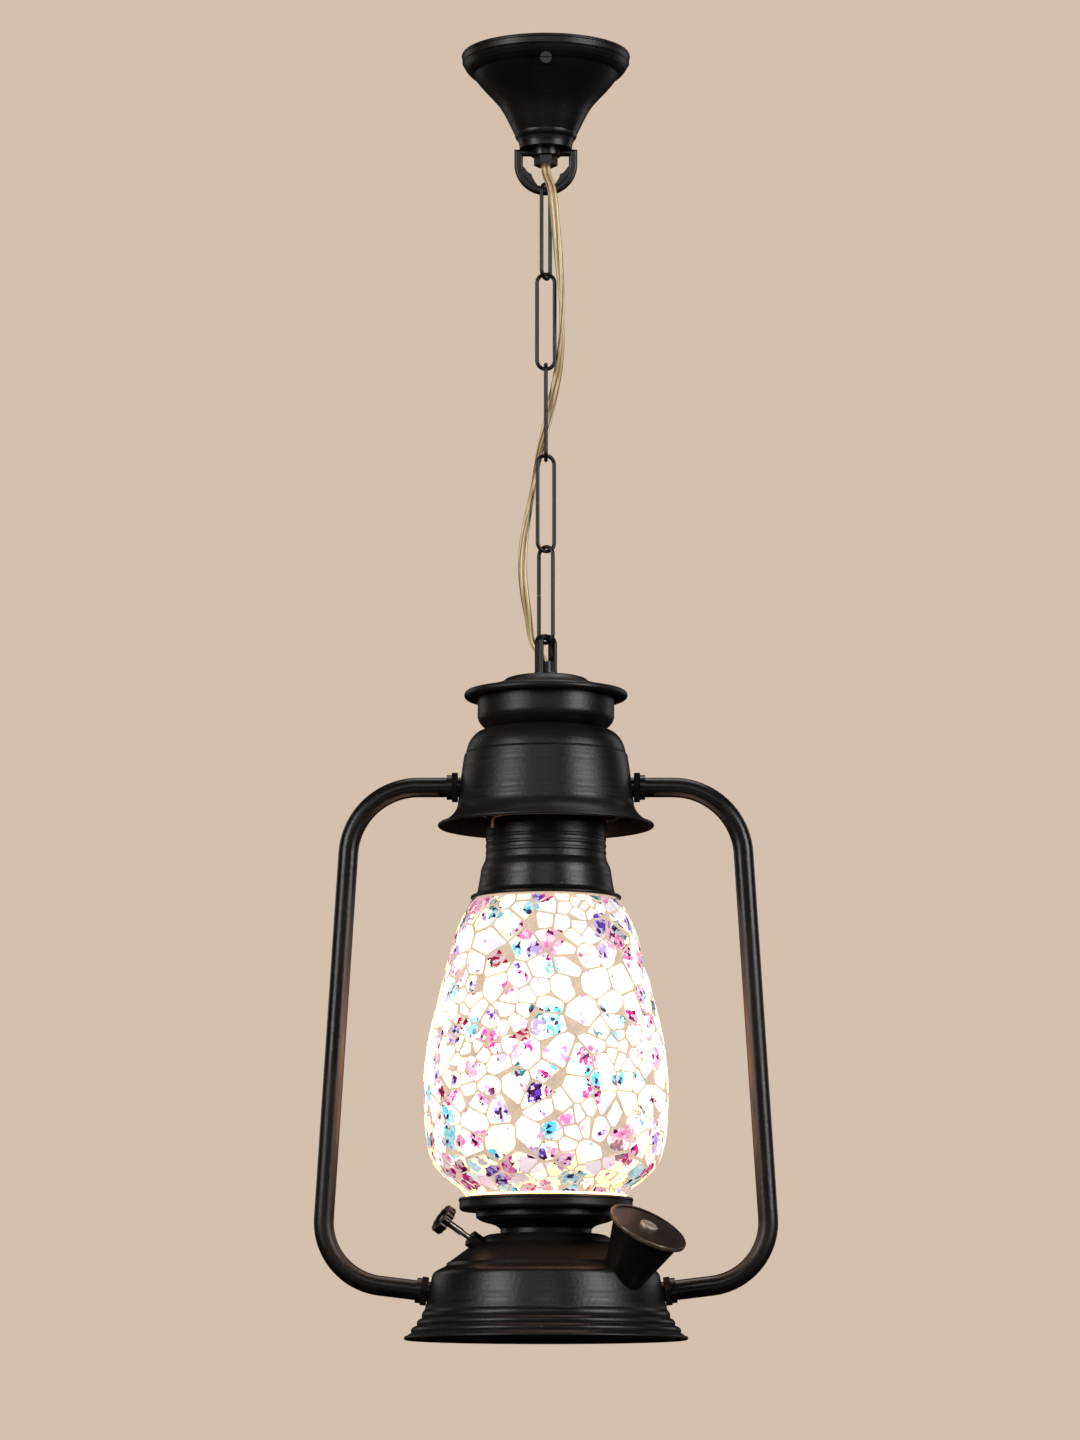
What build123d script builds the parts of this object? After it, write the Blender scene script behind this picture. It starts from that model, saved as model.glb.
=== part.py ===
"""Hanging lantern: a ceiling cup, a five-link chain with a lamp flex beside it, and a lantern
with a mosaic glass globe held between a sprung neck and a gallery, in a frame of two side tubes.

The origin is the middle of the ceiling face, +Z is up, and the lantern faces -Y.
Lengths are in millimetres. Heights of the lantern's own pieces are given above the base's
bottom edge, and low() turns them into the frame's Z.
"""

import os
from math import cos, pi, radians, sin, tan

from build123d import *

# Whole lantern
DROP = 658.0  # from the ceiling to the base's bottom edge
SHEET = 1.0  # spun sheet metal
FIT = 0.05  # radial clearance of threads and pins that don't turn

# Ceiling cup and what is in it
CUP_RIM_R = 43.0
CUP_BOTTOM_R = 13.5
CUP_DEPTH = 50.0
STRAP_WIDTH = 14.0
STRAP_THICK = 2.0
STRAP_HALF = 30.0  # to the outer face of each ear
EAR_DROP = 17.0
SLOT_AT = 20.0  # slot centres from the middle, along Y
SLOT_WIDTH = 5.0
SLOT_LENGTH = 12.0
SIDE_SCREW_Z = -12.5
SIDE_SCREW_D = 4.0
SIDE_SCREW_HEAD = 6.0
SIDE_SCREW_SEAT = 39.6  # underside of the head from the axis
NIPPLE_D = 8.0  # the cup's short nipple
NIPPLE_BORE = 5.0
CUP_NUT_FLATS = 10.6
CUP_NUT_THICK = 5.0
TERMINAL = (22.0, 12.0, 9.0)
TERMINAL_SCREW_D = 3.0

# Loop under the cup
LOOP_WIDTH = 32.4
LOOP_DROP = 24.0
LOOP_BAR = 4.4
LOOP_TOP = 3.5
LOOP_THICK = 3.6
LOOP_ROUND = 1.5
LOOP_BOSS_R = 7.5

# Chain
LINK_WIRE = 2.0
LINK_WIDTH = 11.0
LINK_INNER = 47.6
LINK_GAP = 0.3  # between two links' wires
LINK_SEAM = 0.4  # the open butt joint in one leg
LINK_TURNS = (61.0, 0.0, 90.0, 20.0, -38.0)  # plane of each link about Z, from XZ
LINK_SEAM_SIDES = (1, 1, -1, -1, -1)  # the leg that holds the seam

# Hanger on top of the lantern
HANGER_TURN = 52.0
HANGER_SPAN = 11.0  # between the legs' middles
HANGER_WIDTH = 5.0
HANGER_THICK = 2.6
HANGER_ROUND = 1.2
HANGER_BEND = 3.5
HANGER_LIFT = 0.7  # bar's underside above the lowest link's inner bottom
COLLAR_R = 7.5
COLLAR_TOP = 335.0
COLLAR_FOOT = 333.0

# Long nipple and lamp
STEM_D = 8.0
STEM_BORE = 5.0
STEM_TOP = 341.0
STEM_FOOT = 238.0
STEM_NUT_FLATS = 13.0
STEM_NUT_THICK = 3.0
HOLDER_R = 20.0
HOLDER_WALL = 2.0
HOLDER_TOP = 242.0
HOLDER_FOOT = 194.0
CORE_R = 17.5
CORE_FOOT = 224.0
SLEEVE_R = 15.0
SLEEVE_BORE = 13.6
BULB_CAP_R = 13.2
BULB_CAP_TOP = 221.0
BULB_TOP = 193.0
BULB_FOOT = 112.0
BULB_R = 30.0
BULB_WALL = 0.9

# Heights that the lantern's shells share
LID_SEAT = 325.3  # underside of the lid on the bowl's edge
HOOD_TOP = 306.0
NECK_TOP = 283.0
NECK_FOOT = 220.8
DISH_FOOT = 63.6
DISH_TOP = 70.0
DISH_R = 43.3
WAIST_FOOT = 52.0
BOLT_D = 6.0
BOLT_FLATS = 10.0
BOLT_HEAD = 4.0
GLASS_WALL = 3.0

# Spring between the hood and the neck
SPRING_WIRE = 1.4
SPRING_TURNS = 6
SPRING_LOW_R = 36.5
SPRING_TOP_R = 33.0
SPRING_LOW = 259.5
SPRING_TOP = 300.0
SPRING_TAIL_TURN = 228.0  # the low end's place round the axis
SPRING_TAIL_BEND = 3.0

# Side tubes
TUBE_D = 10.0
TUBE_WALL = 1.0
TUBE_HIGH = 277.0
TUBE_LOW = 23.6  # where the tube's axis meets LOW_WALL_R
LOW_WALL_R = 59.5
TUBE_SLANT = 3.5  # the uprights lean out downwards
TUBE_RISE = 7.0  # the low ends rise outwards
UPRIGHT_X = 100.7
UPRIGHT_H = 227.0
TUBE_BENDS = (35.5, 32.0)
TUBE_IN_HOOD = 38.0
TUBE_IN_BASE = 52.0
TUBE_NUT_FLATS = 14.0
TUBE_NUT_THICK = 3.0
FERRULE_D = 12.6
FERRULE_LONG = 2.6

# Filler on the front right of the base
FILLER_FACE = (50.5, -45.5, 54.0)  # x, y, height of the cap's face
FILLER_AXIS = (0.423, -0.378, 0.825)
FILLER_LONG = 34.0
FILLER_TOP_R = 17.8
FILLER_FOOT_R = 9.0
FILLER_WALL = 1.2
CAP_R = 20.5
CAP_THICK = 2.8
CAP_SCREW_D = 5.0
CAP_SCREW_HEAD = 9.0

# Wick knob on the left of the base
KNOB_SEAT = (-35.7, -13.0, 48.0)  # x, y, height of the bush
KNOB_AXIS = (-0.787, -0.29, 0.543)
KNOB_R = 7.5
KNOB_THICK = 4.0
KNOB_OUT = 17.0  # bush to the wheel's back
KNOB_LOBES = 12
PIN_D = 2.7
PIN_THICK_D = 3.5
PIN_IN = 9.0
BUSH_FLATS = 7.6
BUSH_THICK = 2.7
RUNNING = 0.06  # radial clearance of the turning pin

# Flex beside the chain, from the cup's nipple to the lantern's
FLEX_D = 3.2
FLEX_ROUTE = (
    (0, 0, -58.5),
    (0, 0, -62),
    (0.9, -2, -65.6),
    (2.6, -5.2, -70),
    (3.8, -6.6, -77),
    (4.9, -5.6, -90),
    (6.6, -4, -108),
    (8, -3, -125),
    (8.3, -1, -143),
    (7.6, 2.5, -156),
    (5.7, 6, -169),
    (2.75, 8.5, -182),
    (0, 9, -194.5),
    (-2.8, 8, -205),
    (-5, 5, -217),
    (-8, 2, -235),
    (-10.5, 0, -248),
    (-11.8, -1, -261),
    (-12, -1.2, -271),
    (-10.8, 0, -283),
    (-8.9, 3, -293),
    (-8, 5.2, -301.5),
    (-6.4, 4.8, -307.4),
    (-3.6, 2.8, -311.6),
    (-1, 0.8, -314.6),
    (0, 0, -317.8),
    (0, 0, -321),
)

os.makedirs("parts", exist_ok=True)


def low(height):
    """Z of a height above the base's bottom edge."""
    return height - DROP


def keep(piece, node):
    """Name a finished piece and write it."""
    piece.part.label = node
    export_step(piece.part, f"parts/{node}.step")


def shifted(points, wall):
    """An outline's points moved square to it, to the right of its direction."""
    moved = []
    for i, point in enumerate(points):
        here = Vector(*point)
        before = here - Vector(*points[i - 1]) if i else None
        after = Vector(*points[i + 1]) - here if i + 1 < len(points) else None
        first = (before or after).normalized()
        second = (after or before).normalized()
        side_1 = Vector(first.Y, -first.X)
        side_2 = Vector(second.Y, -second.X)
        side = (side_1 + side_2).normalized()
        moved.append(here + side * (wall / side.dot(side_1)))
    return moved


def draw(stretches):
    """Two points make a straight stretch and more make a smooth curve."""
    for points in stretches:
        if len(points) == 2:
            Line(*points)
        else:
            Spline(*points)


def spun(stretches, wall=SHEET):
    """A sheet turned about Z from stretches of (radius, Z); the wall is to their right."""
    points = [stretches[0][0]] + [point for run in stretches for point in run[1:]]
    inner = shifted(points, wall)
    inner_runs = []
    at = 0
    for run in stretches:
        inner_runs.append(inner[at : at + len(run)])
        at += len(run) - 1
    with BuildPart() as shell:
        with BuildSketch(Plane.XZ):
            with BuildLine():
                draw(stretches)
                Line(points[-1], inner[-1])
                draw(inner_runs)
                Line(inner[0], points[0])
            make_face()
        revolve(axis=Axis.Z)
    return shell


def at_heights(*runs):
    """Stretches given in (radius, height) as stretches in (radius, Z)."""
    return [[(r, low(h)) for r, h in run] for run in runs]


def ring(radius, bore, plane, thick):
    """A round ring on a plane, inside the part that is being built."""
    with BuildSketch(plane) as outline:
        Circle(radius)
        if bore:
            Circle(bore, mode=Mode.SUBTRACT)
    extrude(outline.sketch, amount=thick)


def hexagon(flats, bore, plane, thick):
    """A hexagon nut or head on a plane, inside the part that is being built."""
    with BuildSketch(plane) as outline:
        RegularPolygon(flats / 2, 6, major_radius=False)
        if bore:
            Circle(bore, mode=Mode.SUBTRACT)
    extrude(outline.sketch, amount=thick)


# Ceiling strap, bent down at both ends to take the cup's side screws
with BuildPart() as strap:
    with BuildSketch(Plane.YZ):
        with BuildLine():
            Polyline(
                (-STRAP_HALF, -EAR_DROP),
                (-STRAP_HALF, 0),
                (STRAP_HALF, 0),
                (STRAP_HALF, -EAR_DROP),
                (STRAP_HALF - STRAP_THICK, -EAR_DROP),
                (STRAP_HALF - STRAP_THICK, -STRAP_THICK),
                (STRAP_THICK - STRAP_HALF, -STRAP_THICK),
                (STRAP_THICK - STRAP_HALF, -EAR_DROP),
                close=True,
            )
        make_face()
    extrude(amount=STRAP_WIDTH / 2, both=True)
    with BuildSketch(Plane.XY):
        with Locations((0, -SLOT_AT), (0, SLOT_AT)):
            SlotOverall(SLOT_LENGTH, SLOT_WIDTH, rotation=90)
    extrude(amount=-STRAP_THICK, mode=Mode.SUBTRACT)
    with BuildSketch(Plane.XZ.offset(-STRAP_HALF)):
        with Locations((0, SIDE_SCREW_Z)):
            Circle(SIDE_SCREW_D / 2 + FIT)
    extrude(amount=2 * STRAP_HALF, mode=Mode.SUBTRACT)
keep(strap, "ceiling_strap")

# Ceiling cup, a spun trumpet with a rolled rim and a bead near its foot
cup = spun(
    [
        [(NIPPLE_D / 2 + FIT, -CUP_DEPTH), (CUP_BOTTOM_R, -CUP_DEPTH)],
        [(CUP_BOTTOM_R, -CUP_DEPTH), (14.0, -46.4), (14.6, -45.0)],
        [(14.6, -45.0), (15.7, -43.6), (16.0, -42.0)],
        [(16.0, -42.0), (19.0, -35.8), (23.7, -27.2), (31.0, -18.7), (35.6, -13.2)],
        [(35.6, -13.2), (37.2, -11.0)],
        [(37.2, -11.0), (40.4, -8.4), (42.4, -5.2)],
        [(42.4, -5.2), (CUP_RIM_R, -4.4)],
        [(CUP_RIM_R, -4.4), (CUP_RIM_R, 0)],
    ],
    wall=-SHEET,
)
with BuildPart() as ceiling_cup:
    add(cup.part)
    with BuildSketch(Plane.XZ.offset(-CUP_RIM_R)):
        with Locations((0, SIDE_SCREW_Z)):
            Circle(SIDE_SCREW_D / 2 + FIT)
    extrude(amount=2 * CUP_RIM_R, mode=Mode.SUBTRACT)
keep(ceiling_cup, "ceiling_cup")

# Two slotted screws through the cup's side into the strap's ears
SCREW_HEAD_THICK = 2.4
SCREW_SLOT = 0.9
with BuildPart() as side_screws:
    for facing in (-1, 1):
        seat = Plane(
            origin=(0, facing * SIDE_SCREW_SEAT, SIDE_SCREW_Z), x_dir=(1, 0, 0), z_dir=(0, facing, 0)
        )
        ring(SIDE_SCREW_HEAD / 2, 0, seat, SCREW_HEAD_THICK)
        ring(SIDE_SCREW_D / 2, 0, seat, STRAP_HALF - SIDE_SCREW_SEAT - 2 * STRAP_THICK)
        with BuildSketch(seat.offset(SCREW_HEAD_THICK)):
            Rectangle(SIDE_SCREW_HEAD, SCREW_SLOT)
        extrude(amount=-SCREW_SLOT, mode=Mode.SUBTRACT)
keep(side_screws, "cup_side_screws")

# Loop under the cup, a rounded flat bar with a boss for the nipple and a lobe inside each lower arm
# Each lobe's edge above its cusp, below it and inside the bar, as (x, drop from the loop's top)
LOBE_EDGES = (
    ((13.2, 8.4), (11.4, 9.3), (10.1, 11.0), (7.3, 13.0)),
    ((7.3, 13.0), (6.8, 14.9), (5.4, 17.4), (3.2, 20.4)),
    ((3.2, 20.4), (9.9, 17.9), (13.0, 13.0), (13.2, 8.4)),
)
LOBE_THICK = 3.0
loop_top = -CUP_DEPTH
loop_side = LOOP_WIDTH / 2
loop_inner = loop_side - LOOP_BAR
loop_foot = loop_top - LOOP_DROP
loop_bend = loop_foot + loop_side
with BuildPart() as cup_loop:
    with BuildSketch(Plane.XZ):
        with BuildLine():
            Polyline(
                (-loop_side, loop_bend),
                (-loop_side, loop_top),
                (loop_side, loop_top),
                (loop_side, loop_bend),
            )
            ThreePointArc((loop_side, loop_bend), (0, loop_foot), (-loop_side, loop_bend))
        make_face()
        with BuildLine():
            Polyline(
                (-loop_inner, loop_bend),
                (-loop_inner, loop_top - LOOP_TOP),
                (loop_inner, loop_top - LOOP_TOP),
                (loop_inner, loop_bend),
            )
            ThreePointArc((loop_inner, loop_bend), (0, loop_foot + LOOP_BAR), (-loop_inner, loop_bend))
        make_face(mode=Mode.SUBTRACT)
    extrude(amount=LOOP_THICK / 2, both=True)
    fillet(cup_loop.faces().filter_by(Axis.Y).edges(), LOOP_ROUND)
    for side in (-1, 1):
        with BuildSketch(Plane.XZ):
            with BuildLine():
                for edge in LOBE_EDGES:
                    Spline(*[(side * x, loop_top - drop) for x, drop in edge])
            make_face()
        extrude(amount=LOBE_THICK / 2, both=True)
    ring(LOOP_BOSS_R, 0, Plane.XY.offset(loop_top), -LOOP_TOP)
    with Locations((0, 0, loop_top)):
        Cylinder(
            NIPPLE_D / 2 + FIT, LOOP_TOP, align=(Align.CENTER, Align.CENTER, Align.MAX), mode=Mode.SUBTRACT
        )
keep(cup_loop, "cup_loop")

# Short nipple that clamps the loop to the cup, with its two nuts
nipple_foot = loop_top - LOOP_TOP - CUP_NUT_THICK
nipple_top = loop_top + SHEET + STEM_NUT_THICK + 1
with BuildPart() as cup_nipple:
    ring(NIPPLE_D / 2, NIPPLE_BORE / 2, Plane.XY.offset(nipple_foot), nipple_top - nipple_foot)
keep(cup_nipple, "cup_nipple")

with BuildPart() as cup_nut:
    hexagon(CUP_NUT_FLATS, NIPPLE_D / 2 + FIT, Plane.XY.offset(nipple_foot), CUP_NUT_THICK)
keep(cup_nut, "cup_nut")

with BuildPart() as cup_locknut:
    hexagon(CUP_NUT_FLATS, NIPPLE_D / 2 + FIT, Plane.XY.offset(loop_top + SHEET), STEM_NUT_THICK)
keep(cup_locknut, "cup_locknut")

# Terminal block under the strap, its screws, and the lead from it into the nipple
terminal_foot = -STRAP_THICK - TERMINAL[2]
with BuildPart() as terminal_block:
    with Locations((0, 0, -STRAP_THICK)):
        Box(*TERMINAL, align=(Align.CENTER, Align.CENTER, Align.MAX))
    fillet(terminal_block.edges().filter_by(Axis.Z), 1)
    with BuildSketch(Plane.XZ.offset(TERMINAL[1] / 2)):
        with Locations((-TERMINAL[0] / 4, terminal_foot / 2), (TERMINAL[0] / 4, terminal_foot / 2)):
            Circle(TERMINAL_SCREW_D / 2 + FIT)
    extrude(amount=-TERMINAL[1] / 2, mode=Mode.SUBTRACT)
keep(terminal_block, "terminal_block")

with BuildPart() as terminal_screws:
    for across in (-TERMINAL[0] / 4, TERMINAL[0] / 4):
        head = Plane(origin=(across, -TERMINAL[1] / 2, terminal_foot / 2), z_dir=(0, 1, 0))
        ring(TERMINAL_SCREW_D / 2, 0, head, TERMINAL[1] / 2)
keep(terminal_screws, "terminal_screws")

with BuildPart() as cup_lead:
    ring(FLEX_D / 2, 0, Plane.XY.offset(nipple_foot), terminal_foot - nipple_foot)
keep(cup_lead, "cup_lead")

# Chain, five open links of round wire, each turned about Z as it hangs
link_r = (LINK_WIDTH - LINK_WIRE) / 2
link_leg = (LINK_INNER + LINK_WIRE) / 2 - link_r
link_step = LINK_INNER - LINK_GAP
first_link = loop_foot + LOOP_BAR + LINK_GAP + LINK_WIRE / 2 - (LINK_INNER + LINK_WIRE) / 2
link_middles = [first_link - k * link_step for k in range(len(LINK_TURNS))]
for number, (turn, middle, side) in enumerate(zip(LINK_TURNS, link_middles, LINK_SEAM_SIDES), 1):
    along = (cos(radians(turn)), sin(radians(turn)), 0)
    face = Plane(origin=(0, 0, middle), x_dir=along, z_dir=(along[1], -along[0], 0))
    with BuildPart() as link:
        with BuildLine(face) as wire:
            Line((side * link_r, LINK_SEAM / 2), (side * link_r, link_leg))
            ThreePointArc((side * link_r, link_leg), (0, link_leg + link_r), (-side * link_r, link_leg))
            Line((-side * link_r, link_leg), (-side * link_r, -link_leg))
            ThreePointArc((-side * link_r, -link_leg), (0, -link_leg - link_r), (side * link_r, -link_leg))
            Line((side * link_r, -link_leg), (side * link_r, -LINK_SEAM / 2))
        with BuildSketch(Plane(origin=wire.line @ 0, z_dir=wire.line % 0)):
            Circle(LINK_WIRE / 2)
        sweep()
    keep(link, f"chain_link_{number}")

# Hanger: a strap bent through the lowest link, on a round plate on the long nipple
link_foot = link_middles[-1] - LINK_INNER / 2
bar_middle = link_foot + HANGER_LIFT + HANGER_THICK / 2
hang_along = (cos(radians(HANGER_TURN)), sin(radians(HANGER_TURN)), 0)
hang_face = Plane(origin=(0, 0, 0), x_dir=hang_along, z_dir=(hang_along[1], -hang_along[0], 0))
half_span = HANGER_SPAN / 2
with BuildPart() as hanger:
    with BuildLine(hang_face) as strap_line:
        FilletPolyline(
            (-half_span, low(COLLAR_TOP) - 1),
            (-half_span, bar_middle),
            (half_span, bar_middle),
            (half_span, low(COLLAR_TOP) - 1),
            radius=HANGER_BEND,
        )
    with BuildSketch(Plane(origin=strap_line.line @ 0, x_dir=hang_along, z_dir=(0, 0, 1))):
        RectangleRounded(HANGER_THICK, HANGER_WIDTH, HANGER_ROUND)
    sweep()
    ring(COLLAR_R, STEM_D / 2 + FIT, Plane.XY.offset(low(COLLAR_FOOT)), COLLAR_TOP - COLLAR_FOOT)
keep(hanger, "hanger")

# Long nipple, its nuts under the hood and on the lamp holder, and the lead inside it
with BuildPart() as stem:
    ring(STEM_D / 2, STEM_BORE / 2, Plane.XY.offset(low(STEM_FOOT)), STEM_TOP - STEM_FOOT)
keep(stem, "lamp_stem")

with BuildPart() as stem_nuts:
    for foot in (HOOD_TOP - SHEET - STEM_NUT_THICK, HOLDER_TOP):
        hexagon(STEM_NUT_FLATS, STEM_D / 2 + FIT, Plane.XY.offset(low(foot)), STEM_NUT_THICK)
keep(stem_nuts, "stem_nuts")

lead_top = FLEX_ROUTE[-1][2]
with BuildPart() as holder_lead:
    ring(FLEX_D / 2, 0, Plane.XY.offset(low(STEM_FOOT)), lead_top - low(STEM_FOOT))
keep(holder_lead, "holder_lead")

# Lid, a low dome with a raised middle and a rolled edge, on the bowl of the vent cap
with BuildPart() as lid:
    with BuildSketch(Plane.XZ):
        with BuildLine():
            Polyline(
                (39.4, low(322)),
                (37.2, low(322)),
                (36.6, low(LID_SEAT)),
                (32.6, low(LID_SEAT)),
                (22.4, low(328.4)),
                (18.4, low(331.8)),
                (STEM_D / 2 + FIT, low(331.8)),
                (STEM_D / 2 + FIT, low(COLLAR_FOOT)),
                (18.0, low(COLLAR_FOOT)),
                (20.4, low(332.2)),
                (22.8, low(330.2)),
                (33.4, low(327.2)),
                (39.4, low(326)),
            )
            ThreePointArc((39.4, low(326)), (41.4, low(324)), (39.4, low(322)))
        make_face()
    revolve(axis=Axis.Z)
keep(lid, "cap_lid")

bowl = spun(
    at_heights(
        [(34.6, LID_SEAT), (34.6, 313.5)],
        [(34.6, 313.5), (33.6, 310.2), (31.2, 307.6), (29.2, HOOD_TOP)],
        [(29.2, HOOD_TOP), (STEM_D / 2 + FIT, HOOD_TOP)],
    )
)
keep(bowl, "cap_bowl")

# Hood, a spun bell with a ridge on its shoulder and a flared rim
hood_shell = spun(
    at_heights(
        [(STEM_D / 2 + FIT, HOOD_TOP), (31.0, HOOD_TOP)],
        [(31.0, HOOD_TOP), (36.4, 303.2), (39.0, 299.4), (40.4, 294.4)],
        [(40.4, 294.4), (41.3, 293.2)],
        [(41.3, 293.2), (42.4, 286.0), (43.6, 276.5), (44.4, 269.4)],
        [(44.4, 269.4), (45.3, 265.6), (47.6, 262.4), (54.2, 257.4)],
    )
)
with BuildPart() as hood:
    add(hood_shell.part)
    with BuildSketch(Plane.YZ.offset(-CUP_RIM_R - TUBE_D)):
        with Locations((0, low(TUBE_HIGH))):
            Circle(TUBE_D / 2 + FIT)
    extrude(amount=2 * (CUP_RIM_R + TUBE_D), mode=Mode.SUBTRACT)
keep(hood, "hood")

# Sliding neck, with three fine beads, a shoulder and a lip that sits on the glass
BEAD_HEIGHTS = (250.5, 247.0, 243.5)
BEAD_OUT = 0.25
bead_runs = []
edge = (30.0, NECK_TOP)
for height in BEAD_HEIGHTS:
    above = (30.2, height + 1)
    below = (30.2, height - 1)
    bead_runs.append([edge, above])
    bead_runs.append([above, (30.2 + BEAD_OUT, height), below])
    edge = below
neck = spun(
    at_heights(
        *bead_runs,
        [edge, (30.8, 239.4)],
        [(30.8, 239.4), (31.5, 238.0), (32.4, 236.0), (32.8, 234.4)],
        [(32.8, 234.4), (33.6, 229.0), (34.5, 224.2)],
        [(34.5, 224.2), (35.5, 222.4), (37.6, NECK_FOOT)],
    )
)
keep(neck, "neck")

# Spring between the hood's shoulder and the neck: one wire, wound as biarcs of a quarter turn
def coil(turns):
    """A point of the spring's line, counted in turns from its low end, and the way it runs there."""
    share = turns / SPRING_TURNS
    radius = SPRING_LOW_R + (SPRING_TOP_R - SPRING_LOW_R) * share
    angle = radians(SPRING_TAIL_TURN) + 2 * pi * turns
    widen = (SPRING_TOP_R - SPRING_LOW_R) / SPRING_TURNS
    climb = (SPRING_TOP - SPRING_LOW) / SPRING_TURNS
    point = Vector(radius * cos(angle), radius * sin(angle), low(SPRING_LOW) + climb * turns)
    way = Vector(
        widen * cos(angle) - 2 * pi * radius * sin(angle),
        widen * sin(angle) + 2 * pi * radius * cos(angle),
        climb,
    )
    return point, way.normalized()


def biarc(start, start_way, end, end_way):
    """Two arcs that meet smoothly, from one point and direction to another."""
    gap = end - start
    both = start_way + end_way
    turn = 2 * (1 - start_way.dot(end_way))
    reach = (-gap.dot(both) + (gap.dot(both) ** 2 + turn * gap.dot(gap)) ** 0.5) / turn
    meet = (start + start_way * reach + end - end_way * reach) * 0.5
    first = TangentArc(start, meet, tangent=start_way)
    TangentArc(meet, end, tangent=first % 1)


with BuildPart() as spring:
    low_end, low_way = coil(0)
    inward = Vector(-low_end.X, -low_end.Y, 0).normalized()
    bend_start = low_end - low_way * SPRING_TAIL_BEND + inward * SPRING_TAIL_BEND
    tail = SPRING_LOW_R - SPRING_TAIL_BEND - 30.5
    with BuildLine() as spring_line:
        Line(bend_start + inward * tail, bend_start)
        TangentArc(bend_start, low_end, tangent=-inward)
        for quarter in range(4 * SPRING_TURNS):
            biarc(*coil(quarter / 4), *coil(quarter / 4 + 0.25))
        top_end, top_way = coil(SPRING_TURNS)
        Line(top_end, top_end + top_way * SPRING_WIRE)
    with BuildSketch(Plane(origin=spring_line.line @ 0, z_dir=-inward)):
        Circle(SPRING_WIRE / 2)
    sweep()
keep(spring, "neck_spring")

STEPS = 48  # points measured on each turn
coil_points = [coil(i / STEPS)[0] for i in range(SPRING_TURNS * STEPS)]
coil_gap = min(
    (coil_points[i] - coil_points[j]).length
    for i in range(len(coil_points) - STEPS // 2)
    for j in range(i + STEPS // 2, len(coil_points))
)
print(f"spring: least gap to itself {coil_gap - SPRING_WIRE:.2f} mm")

# Glass globe, open at both ends, with a plain fitter band that stands in the gallery dish
glass = spun(
    at_heights(
        [(34.2, 221.6), (37.4, 219.2)],
        [
            (37.4, 219.2),
            (43.2, 208.7),
            (49.8, 187.5),
            (55.2, 166.0),
            (59.6, 145.0),
            (61.6, 119.0),
            (60.4, 103.0),
            (56.3, 87.0),
            (46.4, 77.0),
            (41.0, 73.4),
        ],
        [(41.0, 73.4), (41.0, DISH_FOOT + SHEET)],
    ),
    wall=GLASS_WALL,
)
keep(glass, "glass_globe")

# Gallery: a dish with a rounded edge on a waisted stand, bolted to the base's top
dish = spun(
    at_heights(
        [(BOLT_D / 2 + FIT, DISH_FOOT), (42.0, DISH_FOOT)],
        [(42.0, DISH_FOOT), (43.0, 64.3), (DISH_R, 65.6)],
        [(DISH_R, 65.6), (DISH_R, DISH_TOP)],
    ),
    wall=-SHEET,
)
keep(dish, "gallery_dish")

waist = spun(
    at_heights(
        [(35.0, DISH_FOOT), (35.0, 60.4)],
        [(35.0, 60.4), (31.5, 58.2), (26.0, 56.6), (22.8, 54.4)],
        [(22.8, 54.4), (22.8, WAIST_FOOT)],
    )
)
keep(waist, "gallery_waist")

with BuildPart() as bolt:
    hexagon(BOLT_FLATS, 0, Plane.XY.offset(low(DISH_FOOT + SHEET)), BOLT_HEAD)
    ring(BOLT_D / 2, 0, Plane.XY.offset(low(DISH_FOOT + SHEET)), WAIST_FOOT - DISH_FOOT - 2 * BOLT_HEAD)
keep(bolt, "centre_bolt")

with BuildPart() as bolt_nut:
    hexagon(BOLT_FLATS, BOLT_D / 2 + FIT, Plane.XY.offset(low(WAIST_FOOT - SHEET)), -BOLT_HEAD)
keep(bolt_nut, "centre_nut")

# Base, a spun drum with a stepped shoulder and a flared foot with three grooves, open below
base_runs = at_heights(
    [(BOLT_D / 2 + FIT, WAIST_FOOT), (26.6, WAIST_FOOT)],
    [(26.6, WAIST_FOOT), (30.6, 51.0), (33.4, 48.8)],
    [(33.4, 48.8), (34.4, 47.6)],
    [(34.4, 47.6), (39.6, 44.6), (44.2, 41.2), (49.4, 37.6)],
    [(49.4, 37.6), (50.2, 36.0)],
    [(50.2, 36.0), (54.0, 34.2), (56.4, 32.2), (57.0, 30.4)],
    [(57.0, 30.4), (58.3, 23.4), (60.5, 14.4)],
    [(60.5, 14.4), (61.9, 11.4), (61.7, 10.4)],
    [(61.7, 10.4), (64.4, 7.6), (64.2, 6.6)],
    [(64.2, 6.6), (67.3, 3.9), (67.1, 3.0)],
    [(67.1, 3.0), (69.6, 1.2), (70.4, 0)],
)
base_shell = spun(base_runs)
with BuildPart() as base_filled:
    with BuildSketch(Plane.XZ):
        with BuildLine():
            draw(base_runs)
            Polyline(base_runs[-1][-1], (0, low(0)), (0, low(WAIST_FOOT)), base_runs[0][0])
        make_face()
    revolve(axis=Axis.Z)


def tube_end(side, upper, out):
    """The plane square to a side tube's axis, that far from the middle, facing outwards."""
    if upper:
        return Plane(origin=(side * out, 0, low(TUBE_HIGH)), x_dir=(0, 1, 0), z_dir=(side, 0, 0))
    rise = tan(radians(TUBE_RISE))
    return Plane(
        origin=(side * out, 0, low(TUBE_LOW + rise * (out - LOW_WALL_R))),
        x_dir=(0, 1, 0),
        z_dir=(side, 0, rise),
    )


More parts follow.
